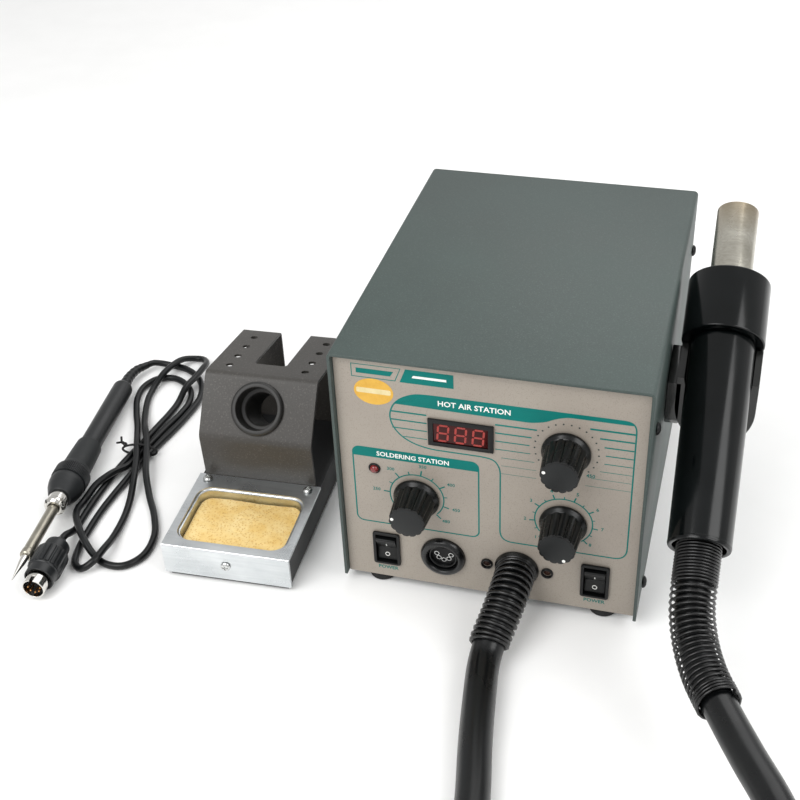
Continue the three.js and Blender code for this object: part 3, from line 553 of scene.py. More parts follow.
worked("gunPlastic", "030505", "070a0b", 0.17, 900, 0.006, swing=0.03, Specular_IOR_Level=0.3)
worked("holderPaint", "0b0c0b", "151714", 0.22, 700, 0.015, Coat_Weight=0.3, Coat_Roughness=0.1)
worked("hoseRubber", "040506", "0a0c0d", 0.3, 600, 0.02, swing=0.08, Specular_IOR_Level=0.38)
worked("guardWire", "050505", "0e0e0f", 0.28, 900, 0.01)
worked("cordRubber", "050607", "0c0f10", 0.36, 1500, 0.02, Specular_IOR_Level=0.35)
worked("ironPlastic", "0a0c0e", "141719", 0.46, 1600, 0.03)
worked("gripRubber", "0d1011", "181c1d", 0.6, 2200, 0.04)
worked("plugPlastic", "0c0e10", "171a1c", 0.4, 1600, 0.015)
worked("cupPlastic", "1f1e1d", "2b2a28", 0.5, 1300, 0.03)
worked("footRubber", "0c0c0d", "161617", 0.7, 1500, 0.04)
worked("standRubber", "121314", "1d1e1f", 0.55, 900, 0.04)
worked("heaterCeramic", "cfc7b4", "e6dfce", 0.7, 900, 0.05)
worked("printTeal", "00655f", "00736c", 0.45, 2500, 0.006, Specular_IOR_Level=0.15)
worked("printDark", "1c2726", "26312f", 0.45, 2500, 0.006)
worked("printWhite", "e2e2dd", "f2f2ee", 0.45, 2500, 0.006)
worked("stickerYellow", "cc9a2c", "d9a93c", 0.38, 900, 0.006, patch=150)
worked("stickerPale", "d3c188", "dfd0a2", 0.38, 900, 0.006, patch=150)
worked("lensRed", "2b0505", "3f0a09", 0.14, 600, 0.003, patch=120, swing=0.03, Specular_IOR_Level=0.2)
worked("digitRed", "8a1f18", "a32c22", 0.3, 1500, 0.003, patch=300)
worked("lampRed", "5c0b0d", "871316", 0.15, 900, 0.004, patch=400, Coat_Weight=0.6)
worked("insideDark", "060607", "0c0c0d", 0.7, 900, 0.03)
worked("transformerIron", "4c4038", "6a5848", 0.5, 300, 0.1, metal=0.4, stretch=(0.05, 1, 0.05))
worked("pumpCasting", "1c1d1f", "2d2e31", 0.5, 500, 0.08, metal=0.3)
worked("boardGreen", "12482a", "1f6a3d", 0.35, 1200, 0.02, patch=220)


def spongeFinish():
    material = newFinish("spongeCellulose", 0.92)
    shader = shaderOf(material)
    plain = coordinates(material)
    broad = noise(plain, 70, 5, 0.6)
    pores = material.node_tree.nodes.new("ShaderNodeTexVoronoi")
    pores.inputs["Scale"].default_value = 620
    pores.inputs["Randomness"].default_value = 1
    link(plain, pores.inputs["Vector"])
    # the pore mask dents the surface and also paints the pits a darker yellow, which is painted shade inside the
    # pores
    holes = ranged(pores.outputs["Distance"], 0, 1, 0.08, 0.42)
    body = mixed(ranged(broad, 0, 1, 0.35, 0.65), "efd596", "e2bd70")
    link(mixed(holes, "cf9f4c", body), shader.inputs["Base Color"])
    fuzz = noise(plain, 1800, 2)
    rough = bumped(fuzz, 0.7, 0.12)
    link(bumped(holes, 0.9, 0.25, rough), shader.inputs["Normal"])
    shader.inputs["Sheen Weight"].default_value = 0.15


def heatTinted(name, axis, start, end, tint):  # straw to brown where the steel runs hot
    material = bpy.data.materials[name]
    tree = material.node_tree.nodes
    source, dot = tree.new("ShaderNodeTexCoord"), tree.new("ShaderNodeVectorMath")
    dot.operation = "DOT_PRODUCT"
    dot.inputs[1].default_value = axis
    link(source.outputs["Object"], dot.inputs[0])
    base = shaderOf(material).inputs["Base Color"]
    warm = ranged(dot.outputs["Value"], 0, 0.6, start, end)
    link(mixed(warm, base.links[0].from_socket, tint), base)


spongeFinish()
print("finishes ready:", len(bpy.data.materials))


repaints = {
    "panelPaint": ["front_panel"], "zincSheet": ["base_tray", "rear_panel"], "transformerIron": ["transformer"],
    "pumpCasting": ["air_pump"], "boardGreen": ["control_board"], "screwSteel": ["iron_pot", "heat_pot", "air_pot"],
    "standRubber": ["stand_base"], "heaterCeramic": ["gun_heater"], "socketPlastic": ["hose_gland"],
}
for material, painted in repaints.items():
    for name in painted:
        nodes[name].data.materials.clear()
        nodes[name].data.materials.append(bpy.data.materials[material])

# the case
case = {"width": 188, "depth": 245, "low": 7, "high": 179, "wall": 2, "bend": 3, "panelFace": -118, "rearFace": 118}
fixed = ("station", place())


def makeCover(c):
    bm = boxShape(-c["width"] / 2, c["width"] / 2, -c["depth"] / 2, c["depth"] / 2, c["low"], c["high"])
    openSides = [f for f in bm.faces if abs(f.normal.y) > 0.5 or f.normal.z < -0.5]
    bmesh.ops.delete(bm, geom=openSides, context="FACES_ONLY")
    roundEdges(bm, [e for e in bm.edges if len(e.link_faces) == 2], c["bend"], 6)
    cover = settle(bm, "coverShell", "coverPaint", fixed, "top_cover", recalc=False, sharp=60)
    wall = cover.modifiers.new("wall", "SOLIDIFY")
    wall.thickness = c["wall"] * mm
    wall.offset = -1
    wall.use_even_offset = True
    polish(cover, 0.35, 2, 50)


def screwHead(radius, height, cross, shank=4.0):
    outline = [(0, -shank), (radius * 0.45, -shank), (radius * 0.45, 0), (radius, 0), (radius * 0.97, height * 0.35),
               (radius * 0.72, height * 0.82), (radius * 0.35, height), (0, height)]
    arm = radius * 0.62
    across = boxShape(-arm, arm, -cross, cross, height * 0.35, height + 1)
    return cutBy(lathed(outline, height * 0.25, 3, 32), across, moved(across.copy(), turned(90, "Z")))


def makeCaseScrews(c):
    spots = [(side, y, z) for side in (1, -1) for y, z in ((-98, 138), (-94, 14.5), (113, 138))]
    for index, (side, y, z) in enumerate(spots, 1):
        spot = ("station", place(side * (c["width"] / 2 + 0.3), y, z) @ turned(side * 90, "Y"))
        settle(screwHead(4, 2.4, 0.45, 3), f"caseScrew{index}", "blackScrew", spot, f"cover_screw_{index}")


def makeFeet():
    outline = [(0, 1.2), (4, 1.2), (4.6, 0), (8, 0), (9, 1), (7.6, 6.9), (0, 6.9)]
    for index, (x, y) in enumerate(((-72, -107.5), (72, -107.5), (-72, 107.5), (72, 107.5)), 1):
        spot = ("station", place(x, y, 0))
        settle(lathed(outline, 0.5, 3, 40), f"foot{index}", "footRubber", spot, f"foot_{index}")


makeCover(case)
makeCaseScrews(case)
makeFeet()
print("case done")

# printing on the front panel: x to the right, y is the height above the table, z out of the panel
panel = place(0, case["panelFace"], 0, 0, 90)
dials = {"iron": (-44.3, 77), "heat": (46.2, 128.2), "air": (46.2, 74)}
switches = {"iron": (-65.3, 31.8), "air": (67.1, 31.8)}
printing = {"line": 0.9, "stripePitch": 5.9, "stripeTop": 146.7, "textSize": 4.6,
            "numbers": (250, 300, 350, 400, 450, 480)}


def onPanel(x=0, y=0, body="station"):
    return body, panel @ shift(x, y)


def printed(points, width, closed=False):
    bm = wire([(x, y, 0) for x, y in points], width / 2, 1, closed)
    return moved(bm, shift(0, 0, 0.03) @ Matrix.Diagonal((1, 1, 0.12, 1)))


def patch(outline, low=0.0, high=0.07):
    return slab(outline, low, high)


def scaleMarks(x, y, inner, angles, length, width):
    centre = Vector((x, y))
    ways = [Vector(polar(angle, 1)) for angle in angles]
    return [printed([centre + way * inner, centre + way * (inner + length)], width) for way in ways]


def makePrinting(line, stripePitch, stripeTop, textSize, numbers):
    # plain name bar: an open half and a filled half
    teal = [
        printed([(-80.8, 162.6), (-54.6, 162.6), (-51.2, 171.4), (-80.8, 171.4)], 0.7, True),
        patch([(-51.8, 162.2), (-19.8, 162.2), (-19.8, 171.6), (-48.2, 171.6)]),
        patch([(-78, 165.3), (-57.4, 165.3), (-55.4, 168.7), (-78, 168.7)]),
    ]
    white = [patch([(-44.5, 166.2), (-24, 166.2), (-24, 167.8), (-43.6, 167.8)], 0.07, 0.1)]
    # soldering frame with its filled head
    box = roundedBox(78.2, 58.6, 4.5, -44.6, 81.5, 6)
    teal += [printed(box, line, True), patch(box[:14] + [(-83.7, 104), (-5.5, 104)])]
    white.append(lettering("SOLDERING STATION", textSize, -46, 107.1, 0.09))
    # hot-air frame: a round nose on the left and a panel down the right
    outline = [(-59.3, 138), (-56.5, 146), (-51.5, 151), (-43.9, 154.6), (-36, 155.2), (81.5, 155.2), (84.9, 151.5),
               (84.9, 57), (81, 52.4), (11.5, 52.4), (7.6, 56.8), (7.6, 108.5), (4.2, 114.6), (-2, 115.9),
               (-34, 116.1), (-44, 118.2), (-52, 122.6), (-57.5, 129.5)]
    head = [(-56.4, 146.2), (-51.5, 151), (-43.9, 154.6), (-36, 155.2), (82, 155.2), (84.6, 152.6), (46, 152.6),
            (39.6, 150.6), (33.5, 147.2), (25, 145.4), (-56.2, 146.4)]
    teal += [printed(soften(outline, 4.5, 5, True), line, True), patch(soften(head, 3, 4))]
    white.append(lettering("HOT AIR STATION", textSize * 1.12, -8, 150.4, 0.09))
    # stripes, thinner row by row and kept clear of the heat dial
    x, middle = dials["heat"]
    noseEnds = {1: -58.2, 2: -59, 3: -57.6, 4: -51}
    for row in range(8):
        y = stripeTop - stripePitch * row
        off = abs(y - middle)
        thick = max(1.25 - 0.17 * row, 0.28)
        if row in noseEnds:
            teal.append(printed([(noseEnds[row], y), (-36.5, y)], thick))
        if row:
            end = x - math.sqrt(21.5 ** 2 - off ** 2) if off < 21.5 else 29
            teal.append(printed([(4.4 if row < 5 else 8.2, y), (min(end, 29), y)], thick))
        start = x + math.sqrt(22.5 ** 2 - off ** 2) if off < 22.5 else 58
        teal.append(printed([(max(start, 56), y), (84.4, y)], thick))
    # dial scales
    x, y = dials["iron"]
    angleOf = lambda number: 225 - (number - 200) * 270 / 280
    teal.append(printed(arc(x, y + 0.6, 17, 208, -42, 60), 0.8))
    teal += scaleMarks(x, y + 0.6, 17, map(angleOf, numbers), 4, 0.9)
    teal += scaleMarks(x, y + 0.6, 17, map(angleOf, (275, 325, 375, 425)), 2.4, 0.7)
    for number in numbers:
        right, up = polar(angleOf(number), 25.6, 23.9)
        teal.append(lettering(str(number), 3.3, x + right, y + 1 + up, 0.04))
    x, y = dials["heat"]
    dots = [polar(225 - 14.21 * k, 18.6) for k in range(20)]
    dark = [patch(arc(x + right, y + 0.8 + up, 0.55, 0, 330, 11)) for right, up in dots]
    teal.append(lettering("450", 3.4, x + 14.6, y - 15.4, 0.06))
    x, y = dials["air"]
    stepAngle = 38.57
    teal.append(printed(arc(x, y + 1.2, 17.4, 215, -50, 60), 0.8))
    teal += scaleMarks(x, y + 1.2, 17.4, [225 - stepAngle * k for k in range(8)], 3.4, 0.9)
    teal += scaleMarks(x, y + 1.2, 17.4, [205.7 - stepAngle * k for k in range(7)], 1.8, 0.6)
    for k in range(8):
        right, up = polar(225 - stepAngle * k, 23.4, 22.8)
        teal.append(lettering(str(k + 1), 3.4, x + right, y + 2 + up, 0.05))
    teal += [lettering("POWER", 3.8, x, 14.6, 0.06) for x in (-65.3, 67.2)]
    settle(join(*teal), "panelPrintTeal", "printTeal", onPanel(), recalc=False)
    settle(join(*white), "panelPrintWhite", "printWhite", onPanel(), recalc=False)
    settle(join(*dark), "panelPrintDots", "printDark", onPanel())
    oval = [polar(7.5 * k, 12, 9.2) for k in range(48)]
    settle(patch(oval, 0, 0.1), "ovalSticker", "stickerYellow", onPanel(-68, 153))
    band = roundedBox(21, 3.6, 1, 0, 0, 3)
    settle(patch(band, 0.1, 0.13), "stickerBand", "stickerPale", onPanel(-68, 153.4))


makePrinting(**printing)
print("panel printed")

# display, lamp, socket and switches
display = {"x": -16, "y": 130, "width": 39.4, "height": 19.4, "rim": 2.6, "digit": (6.2, 11), "pitch": 10.6,
           "stroke": 0.62}
pinAngles = (180, 225, 270, 315, 0)


def makeDisplay(x, y, width, height, rim, digit, pitch, stroke):
    spot, w, h = onPanel(x, y), width / 2, height / 2
    hole = boxShape(rim + 0.6 - w, w - rim - 0.6, rim + 0.2 - h, h - rim - 0.2, -1, 3)
    bezel = cutBy(boxShape(-w, w, -h, h, 0.3, 1.5, 0.3), hole)
    settle(bezel, "displayFrame", "switchPlastic", spot, "display_frame")
    w, h = w - rim - 0.7, h - rim - 0.3
    settle(boxShape(-w, w, -h, h, -4, 1, 0.2), "displayLens", "lensRed", spot, "display_lens")
    wide, tall = digit[0] / 2, digit[1] / 2
    lines = [((-1, y), (1, y)) for y in (1, 0, -1)]
    lines += [((-1, 0), (-1, 1)), ((1, 0), (1, 1)), ((-1, -1), (-1, 0)), ((1, -1), (1, 0))]
    bars = []
    for column in (-1, 0, 1):
        for (x0, y0), (x1, y1) in lines:
            a, b = Vector((x0 * wide, y0 * tall)), Vector((x1 * wide, y1 * tall))
            way = (b - a).normalized()
            a, b, off = a + way * 0.35, b - way * 0.35, Vector((-way.y, way.x)) * stroke
            way *= stroke
            corners = [a, a + way + off, b - way + off, b, b - way - off, a + way - off]
            bars.append(patch([(p.x + p.y * 0.08 + column * pitch, p.y) for p in corners], 1.0, 1.04))
    settle(join(*bars), "displayDigits", "digitRed", spot)


def makeLamp():
    spot = onPanel(-70.4, 95.6)
    dome = [(0, -8), (2.7, -8), (2.7, 1.2), (2.2, 2.2), (1.3, 2.85), (0, 3)]
    settle(lathed(dome, 0.5, 3, 32), "ironLamp", "lampRed", spot, "indicator_lamp")
    ring = [(2.85, 0.02), (3.9, 0.02), (3.7, 0.8), (2.95, 1.1)]
    settle(lathed(ring, 0.25, 2, 32, True), "lampRing", "switchPlastic", spot)


def makeSocket():
    spot = onPanel(-28.6, 32.2)
    collar = [(9.7, -7), (14.3, -7), (14.5, 0.1), (14.5, 1.6), (13.4, 3.4), (11.4, 4.3), (10.4, 3.9), (9.7, 2.6)]
    settle(lathed(collar, 0.7, 4, 64, True), "socketCollar", "socketPlastic", spot, "iron_socket")
    settle(pipe(8.1, 8.9, -6, 1.2, 48, 0.2, 2), "socketShell", "socketPlastic", spot)
    pins = [shift(*polar(angle, 4.6)) for angle in pinAngles]
    tools = [moved(rod(1.15, -5, 0, 16), pin) for pin in pins] + [boxShape(-1.4, 1.4, 4.6, 9, -4, 0)]
    settle(cutBy(rod(8.2, -5.4, -1.6, 48, 0.3), *tools), "socketInsert", "insideDark", spot)
    lips = [moved(pipe(1.15, 1.75, -1.9, -1.35, 20, 0.15, 2), pin) for pin in pins]
    settle(join(*lips), "socketContacts", "screwSteel", spot)


def makeSwitch(name, x, y):
    spot = onPanel(x, y)
    bezel = slab(roundedBox(17.6, 26, 1.6), 0.3, 2.2, 0.5, 3)
    body = boxShape(-7.5, 7.5, -11.7, 11.7, -15, 0.4)
    mouth = boxShape(-6.9, 6.9, -11.3, 11.3, -9, 4, 0.3)
    settle(cutBy(bezel, mouth.copy()), f"{name}SwitchBezel", "switchPlastic", spot, f"{name}_switch_housing")
    settle(cutBy(body, mouth), f"{name}SwitchBody", "switchPlastic", spot)
    spot = onPanel(x, y, f"{name}_rocker")
    half, valley = 10.2, 0.8
    side = [(-half, 2.75), (1 - half, 3.3), (0, valley), (half - 1, 3.3), (half, 2.75),
            (half - 1.5, -5), (1.5 - half, -5)]
    rocker = slab(soften(side, 0.7, 3, True), -6.4, 6.4)
    roundEdges(rocker, sharpEdges(rocker, 60), 0.35, 2)
    tilt = shift(0, 0, -1) @ turned(12, "X")
    settle(moved(rocker, tilt @ standing), f"{name}Rocker", "switchPlastic", spot, f"{name}_switch_rocker")
    rise = 2.5 / (half - 1)
    slope = math.degrees(math.atan(rise))
    low = tilt @ shift(0, -5.2, valley + 5.2 * rise) @ turned(-slope, "X")
    high = tilt @ shift(0, 4.0, valley + 4.0 * rise) @ turned(slope, "X")
    ring = moved(wire([(*polar(a, 1.35), 0) for a in range(0, 360, 15)], 0.24, 1, True), low)
    bar = moved(boxShape(-0.25, 0.25, -1.3, 1.3, -0.05, 0.12), high)
    settle(join(ring, bar), f"{name}RockerMarks", "printWhite", spot)


makeDisplay(**display)
makeLamp()
makeSocket()
for name, spot in switches.items():
    makeSwitch(name, *spot)
print("display, lamp, socket and switches done")

# knobs
knob = {"skirt": 14.5, "foot": 12.8, "top": 11.3, "length": 23.5, "lift": 0.8, "flutes": 14, "fluteDepth": 0.75}
pointers = {"iron": 174, "heat": 167, "air": -60}


def makeKnob(name, skirt, foot, top, length, lift, flutes, fluteDepth):
    body, where = onPanel(*dials[name], f"{name}_knob")
    spot = (body, where @ shift(0, 0, lift) @ turned(pointers[name], "Z"))
    base = lathed([(0, 0), (skirt, 0), (skirt, 1.7), (skirt - 1.1, 3.2), (foot - 0.4, 4.6), (0, 4.6)], 0.8, 4, 96)
    outline = []
    for step in range(flutes * 12):
        angle = 360 * step / (flutes * 12)
        wave = abs(math.sin(math.radians(angle) * flutes / 2)) ** 0.55
        outline.append(polar(angle, foot - fluteDepth * (1 - wave) * 1.4))
    fluted = slab(outline, 3.6, length - 0.4)
    for v in fluted.verts:
        if v.co.z > 10:
            v.co.x, v.co.y = v.co.x * top / foot, v.co.y * top / foot
    roundEdges(fluted, [e for e in fluted.edges if min(ends(e, 2)) > 10], 0.35, 2)
    settle(cutBy(join(base, fluted), rod(3.3, -1, 14.6, 24)), f"{name}Knob", "knobPlastic", spot, f"{name}_knob")
    settle(rod(top - 1.5, length - 0.6, length - 0.25, 64, 0.1), f"{name}KnobFace", "knobFacePlastic", spot)
    dot = rod(1.05, length - 0.5, length + 0.05, 24, 0.2)
    settle(moved(dot, shift(top - 2.1, 0)), f"{name}KnobDot", "printWhite", spot)


for name in dials:
    makeKnob(name, **knob)
print("knobs done")

# hose outlet and the two coil guards
outlet = (18.5, 32)
guards = {
    "panel": {"route": panelGuardRoute, "start": 11.6, "end": 11.2, "wire": 1.25, "close": 3.0, "open": 3.7,
              "tight": (0.12, 0.1)},
    "gun": {"route": gunGuardRoute, "start": 12.6, "end": 12.0, "wire": 0.85, "close": 1.9, "open": 3.6,
            "tight": (0.3, 0.07)},
}


def coilPoints(g, spacing=1.0, perTurn=18):
    line = smoothRoute(g["route"], spacing)
    total = routeLength(line)
    last = len(line) - 1
    axes = []
    side = Vector((1, 0, 0))
    for index, point in enumerate(line):
        way = (line[min(index + 1, last)] - line[max(index - 1, 0)]).normalized()
        side = (side - way * side.dot(way)).normalized()
        axes.append((point, side.copy(), way.cross(side)))
    points, reach, angle = [], 0.0, 0.0
    while reach < total:
        share = reach / total
        tight = share < g["tight"][0] or share > 1 - g["tight"][1]
        low = min(int(share * last), last - 1)
        part = share * last - low
        (p0, a0, b0), (p1, a1, b1) = axes[low], axes[low + 1]
        radius = g["start"] + (g["end"] - g["start"]) * share
        outward = a0.lerp(a1, part) * math.cos(angle) + b0.lerp(b1, part) * math.sin(angle)
        points.append(p0.lerp(p1, part) + outward * radius)
        angle += 2 * math.pi / perTurn
        reach += (g["close"] if tight else g["open"]) / perTurn
    return points


def makeGuards():
    for name, body in (("panel", "station"), ("gun", "gun")):
        coil = wire(coilPoints(guards[name]), guards[name]["wire"], 2)
        settle(coil, f"{name}CoilGuard", "guardWire", (body, place()), f"{name}_guard", sharp=60)
    gland = [(9.9, 0.3), (13.6, 0.3), (14, 1), (13.6, 2.4), (12.9, 4.2), (11.6, 4.4), (9.9, 4.4)]
    settle(lathed(gland, 0.5, 3, 64, True), "hoseCollar", "socketPlastic", onPanel(*outlet), "hose_gland")
    rim = [(2.4, -2.5), (3.4, -2.5), (3.8, 0.3), (3.8, 1.3), (3.4, 1.8), (2.9, 1.8), (2.6, 1)]
    for index, side in enumerate((-1, 1), 1):
        spot = onPanel(outlet[0] + side * 19, outlet[1])
        settle(lathed(rim, 0.35, 3, 40, True), f"lockCup{index}", "blackScrew", spot, f"pump_lock_screw_{index}")
        settle(moved(screwHead(2.3, 1.4, 0.3, 3), shift(0, 0, -0.6)), f"lockScrew{index}", "lockScrew", spot)


makeGuards()
print("guards done")

# the hot-air gun, drawn along its own axis
gunFoot, gunTurn, gunLean = (126.2, -130, 80.7), 1.1, -60
gunSpot = ("gun", place(*gunFoot, gunTurn, gunLean))
gunAxis = (-0.016625, 0.865866, 0.5)
gun = {"handle": 132, "foot": 18, "top": 19.5, "collar": 25, "collarLength": 41.5, "barrel": 12.9,
       "reach": 95, "bore": 15.2}


def makeGun(handle, foot, top, collar, collarLength, barrel, reach, bore):
    base = handle + 0.3
    outline = [(bore, 12), (bore, 0.9), (bore + 0.6, 0), (foot, 0), (foot + 0.25, 2), (foot + 0.9, handle * 0.42),
               (top - 0.1, handle * 0.8), (top, handle - 1), (top - 0.6, handle), (0, handle), (0, 12)]
    shell = cutBy(lathed(outline, 0.8, 4, 128), rod(9.2, 70, 140, 48))
    settle(shell, "gunHandle", "gunPlastic", gunSpot, "gun_handle", sharp=50)
    settle(pipe(foot + 0.05, foot + 0.35, 1.5, 3, 96, 0.2, 3), "gunFootBead", "gunPlastic", gunSpot)
    ring = pipe(13.2, collar, base, base + collarLength, 128, 1.0, 5)
    settle(ring, "gunCollar", "gunPlastic", gunSpot, "gun_collar", sharp=50)
    end = base + reach
    tube = pipe(11.4, barrel, base + 4, end, 96, 0.5, 4)
    settle(tube, "gunBarrel", "barrelSteel", gunSpot, "gun_barrel", sharp=50)
    holes = [moved(rod(1.25, end - 13, end - 8, 14), turned(360 * k / count, "Z") @ shift(radius, 0))
             for radius, count in ((0, 1), (4, 6), (7.8, 12)) for k in range(count)]
    plate = cutBy(rod(11.2, end - 11.4, end - 10.4, 64, 0.2), *holes)
    settle(plate, "gunOutletPlate", "chromeNut", gunSpot)


gunReach = Vector(gunAxis).dot(at(gunFoot))
heatTinted("barrelSteel", gunAxis, gunReach + 0.205, gunReach + 0.23, "8d7449")
makeGun(**gun)

holder = {"inner": 20.3, "wall": 4, "armTop": 2, "depth": 44, "length": 24, "back": 131.5, "reach": 46}


def makeHolder(inner, wall, armTop, depth, length, back, reach):
    outer = inner + wall
    drop = depth - outer
    profile = [(-outer, armTop), (-inner, armTop)] + [(x, abs(y)) for x, y in arc(0, 0, inner, 174.4, 5.6, 40)]
    profile += [(inner, armTop), (outer, armTop), (outer, drop)] + arc(0, drop, outer, 0, 180, 40)
    middleX = gunFoot[0] - math.sin(math.radians(gunTurn)) * 0.87 * (back - length / 2)
    leant = shift(middleX, *gunFoot[1:]) @ turned(gunLean, "X")
    frontY = gunFoot[1] + 0.5 * armTop + 0.866 * (back - length)
    bracket = boxShape(94.3 - middleX, -inner - 1, armTop + 4, depth - 8, back - 40, back, 0.5)
    cradle = slab(profile, back - reach, back)
    for shape, name, node in ((cradle, "gunHolder", "gun_holder"), (bracket, "gunHolderBracket", "")):
        moved(shape, leant)
        bmesh.ops.bisect_plane(shape, geom=shape.verts[:] + shape.edges[:] + shape.faces[:], plane_co=(0, frontY, 0),
                               plane_no=(0, -1, 0), clear_outer=True)
        bmesh.ops.holes_fill(shape, edges=[e for e in shape.edges if len(e.link_faces) == 1])
        polish(settle(shape, name, "holderPaint", fixed, node), 0.5, 2)


makeHolder(**holder)
print("gun and holder done")

# the iron stand
standPlace = place(-168.5, -142, 0, 2.5)
tray = {"width": 87, "depth": 75, "top": 27, "pad": 3.4, "well": (73, 51), "corner": 9, "sunk": 14, "middle": 34.5}
cradle = {"line": [(75.3, 5.7), (75.3, 30), (73.5, 61), (100, 97), (178, 81.5), (178, 5.7)], "sheet": 2,
          "width": 79.5}
cup = {"radius": 15.8, "flange": 18.4, "throat": 11, "depth": 42}
cupPlace = shift(0, 86.75, 79) @ turned(math.degrees(math.atan2(36, 26.5)), "X")


def onStand(where, body="stand"):
    return body, standPlace @ where


def bentStrip(line, thickness):
    points = [Vector(p) for p in line]
    inner = []
    for index, point in enumerate(points):
        into = (point - points[index - 1]).normalized() if index else (points[1] - point).normalized()
        out = (points[index + 1] - point).normalized() if index < len(points) - 1 else into
        across = Vector((into.y + out.y, -into.x - out.x)).normalized()
        inner.append(point + across * thickness / max(math.cos(into.angle(out, 0) / 2), 0.3))
    return [tuple(p) for p in points + inner[::-1]]


def makeCradle(line, sheet, width):
    strip = moved(slab(bentStrip(soften(line, 3.5, 6), sheet), -width / 2, width / 2), standing)
    slot = boxShape(-11.5, 11.5, 119, 190, 47.5, 110)
    upright = [e for e in slot.edges if max(ends(e, 2)) - min(ends(e, 2)) > 5 and e.verts[0].co.y < 120]
    roundEdges(slot, upright, 2.5, 4)
    lying = [e for e in slot.edges if max(ends(e, 1)) - min(ends(e, 1)) > 5 and e.verts[0].co.z < 50]
    roundEdges(slot, lying, 4, 4)
    holes = [moved(rod(2.6, 70, 110, 28), shift(side * 27, y)) for side in (-1, 1) for y in (113, 129, 146, 163)]
    mouth = moved(rod(cup["radius"] + 0.5, -26, 12, 64), cupPlace)
    bent = cutBy(strip, slot, mouth, *holes)
    polish(settle(bent, "cradle", "standPaint", onStand(shift(0, 0)), "stand_cradle", sharp=32), 0.35, 2, 50)


def makeCup(radius, flange, throat, depth):
    outline = [(throat, -depth), (throat + 1.4, -depth), (throat + 1.4, -10), (radius, -8), (radius, 0.3),
               (flange, 0.3), (flange, 1.7), (flange - 1.4, 3), (radius - 1.2, 3), (radius - 1.6, -8),
               (throat + 0.6, -8.6), (throat, -10)]
    settle(lathed(outline, 0.7, 4, 96, True), "cradleCup", "cupPlastic", onStand(cupPlace), "cradle_cup", sharp=50)


def makeTray(width, depth, top, pad, well, corner, sunk, middle):
    half = width / 2

    def wellShape(grow, low, high):
        outline = roundedBox(well[0] + grow, well[1] + grow, corner + grow / 2, 0, middle, 8)
        return slab(outline, top + low, top + high)

    plate = boxShape(-half, half, 0, depth, top - 2, top)
    roundEdges(plate, [e for e in plate.edges if max(ends(e, 1)) < 1 and min(ends(e, 2)) > top - 0.5], 1.2, 4)
    front = boxShape(-half, half, 0, 2, pad, top - 1.2)
    bowl, hollow, lip = wellShape(3.2, -sunk - 1.8, -1), wellShape(0, -sunk, 3), wellShape(3.4, -1.7, 1.7)
    roundEdges(hollow, [e for e in hollow.edges if max(ends(e, 2)) < top - 5], 2.5, 4)
    roundEdges(lip, [e for e in lip.edges if max(ends(e, 2)) < top - 1], 1.6, 4)
    sunken = cutBy(join(plate, front, bowl), hollow, lip)
    settle(sunken, "sinkTray", "trayAluminium", onStand(shift(0, 0)), "stand_tray")
    for index, x in enumerate((7.5 - half, half - 7.5), 1):
        spot = onStand(shift(x, depth - 5.5, top + 0.3))
        settle(screwHead(3.4, 2.2, 0.4, 4), f"trayScrew{index}", "screwSteel", spot, f"tray_screw_{index}")
    spot = onStand(shift(0, -0.3, (pad + top) / 2) @ turned(90, "X"))
    settle(screwHead(3.4, 2.0, 0.4, 3), "trayScrew3", "screwSteel", spot, "tray_screw_3")


sponge = {"width": 71, "length": 49, "radius": 8, "base": 13.3, "height": 7.5, "ring": 7.5, "groove": 0.35}


def makeSponge(width, length, radius, base, height, ring, groove):
    bm = bmesh.new()
    bmesh.ops.create_grid(bm, x_segments=96, y_segments=68, size=0.5)
    w, h = width / 2, length / 2
    flatX, flatY = w - radius, h - radius
    for v in bm.verts:
        x, y = v.co.x * width, v.co.y * length
        beyondX, beyondY = abs(x) - flatX, abs(y) - flatY
        if beyondX > 0 and beyondY > 0:
            shrink = max(beyondX, beyondY) / math.hypot(beyondX, beyondY)
            x = math.copysign(flatX + beyondX * shrink, x)
            y = math.copysign(flatY + beyondY * shrink, y)
        v.co.x, v.co.y, v.co.z = x, y, 0
    grown = bmesh.ops.extrude_face_region(bm, geom=bm.faces[:])
    for v in grown["geom"]:
        if isinstance(v, bmesh.types.BMVert):
            x, y = v.co.x, v.co.y
            corner = math.hypot(max(abs(x) - flatX, 0), max(abs(y) - flatY, 0))
            edge = min(w - abs(x), h - abs(y), radius - corner)
            around = math.hypot(x, y) - ring
            swell = 0.35 * math.sin(x * 0.13 + 0.6) * math.sin(y * 0.17 + 0.4)
            swell += 0.12 * math.sin(x * 0.61 + y * 0.37) * math.cos(y * 0.53 - x * 0.21)
            worn = 0.9 * math.exp(-edge / 0.8) + groove * math.exp(-(around / 0.45) ** 2)
            v.co.z = height - 0.35 + swell - worn
    spot = onStand(shift(0, tray["middle"], base), "sponge")
    settle(bm, "wipingSponge", "spongeCellulose", spot, "sponge", sharp=70)


makeCradle(**cradle)
makeCup(**cup)
makeTray(**tray)
makeSponge(**sponge)
print("stand done")

# the soldering iron
ironSpot = ("iron", place(-312.4, -82, 13.2, 7.75, 87.7))
iron = {"ring": 13, "grip": 9.3, "handle": 7.7, "gripEnd": -41, "end": -122, "nut": 7.5, "barrel": 3.9,
        "barrelEnd": 84.5, "tipEnd": 108}


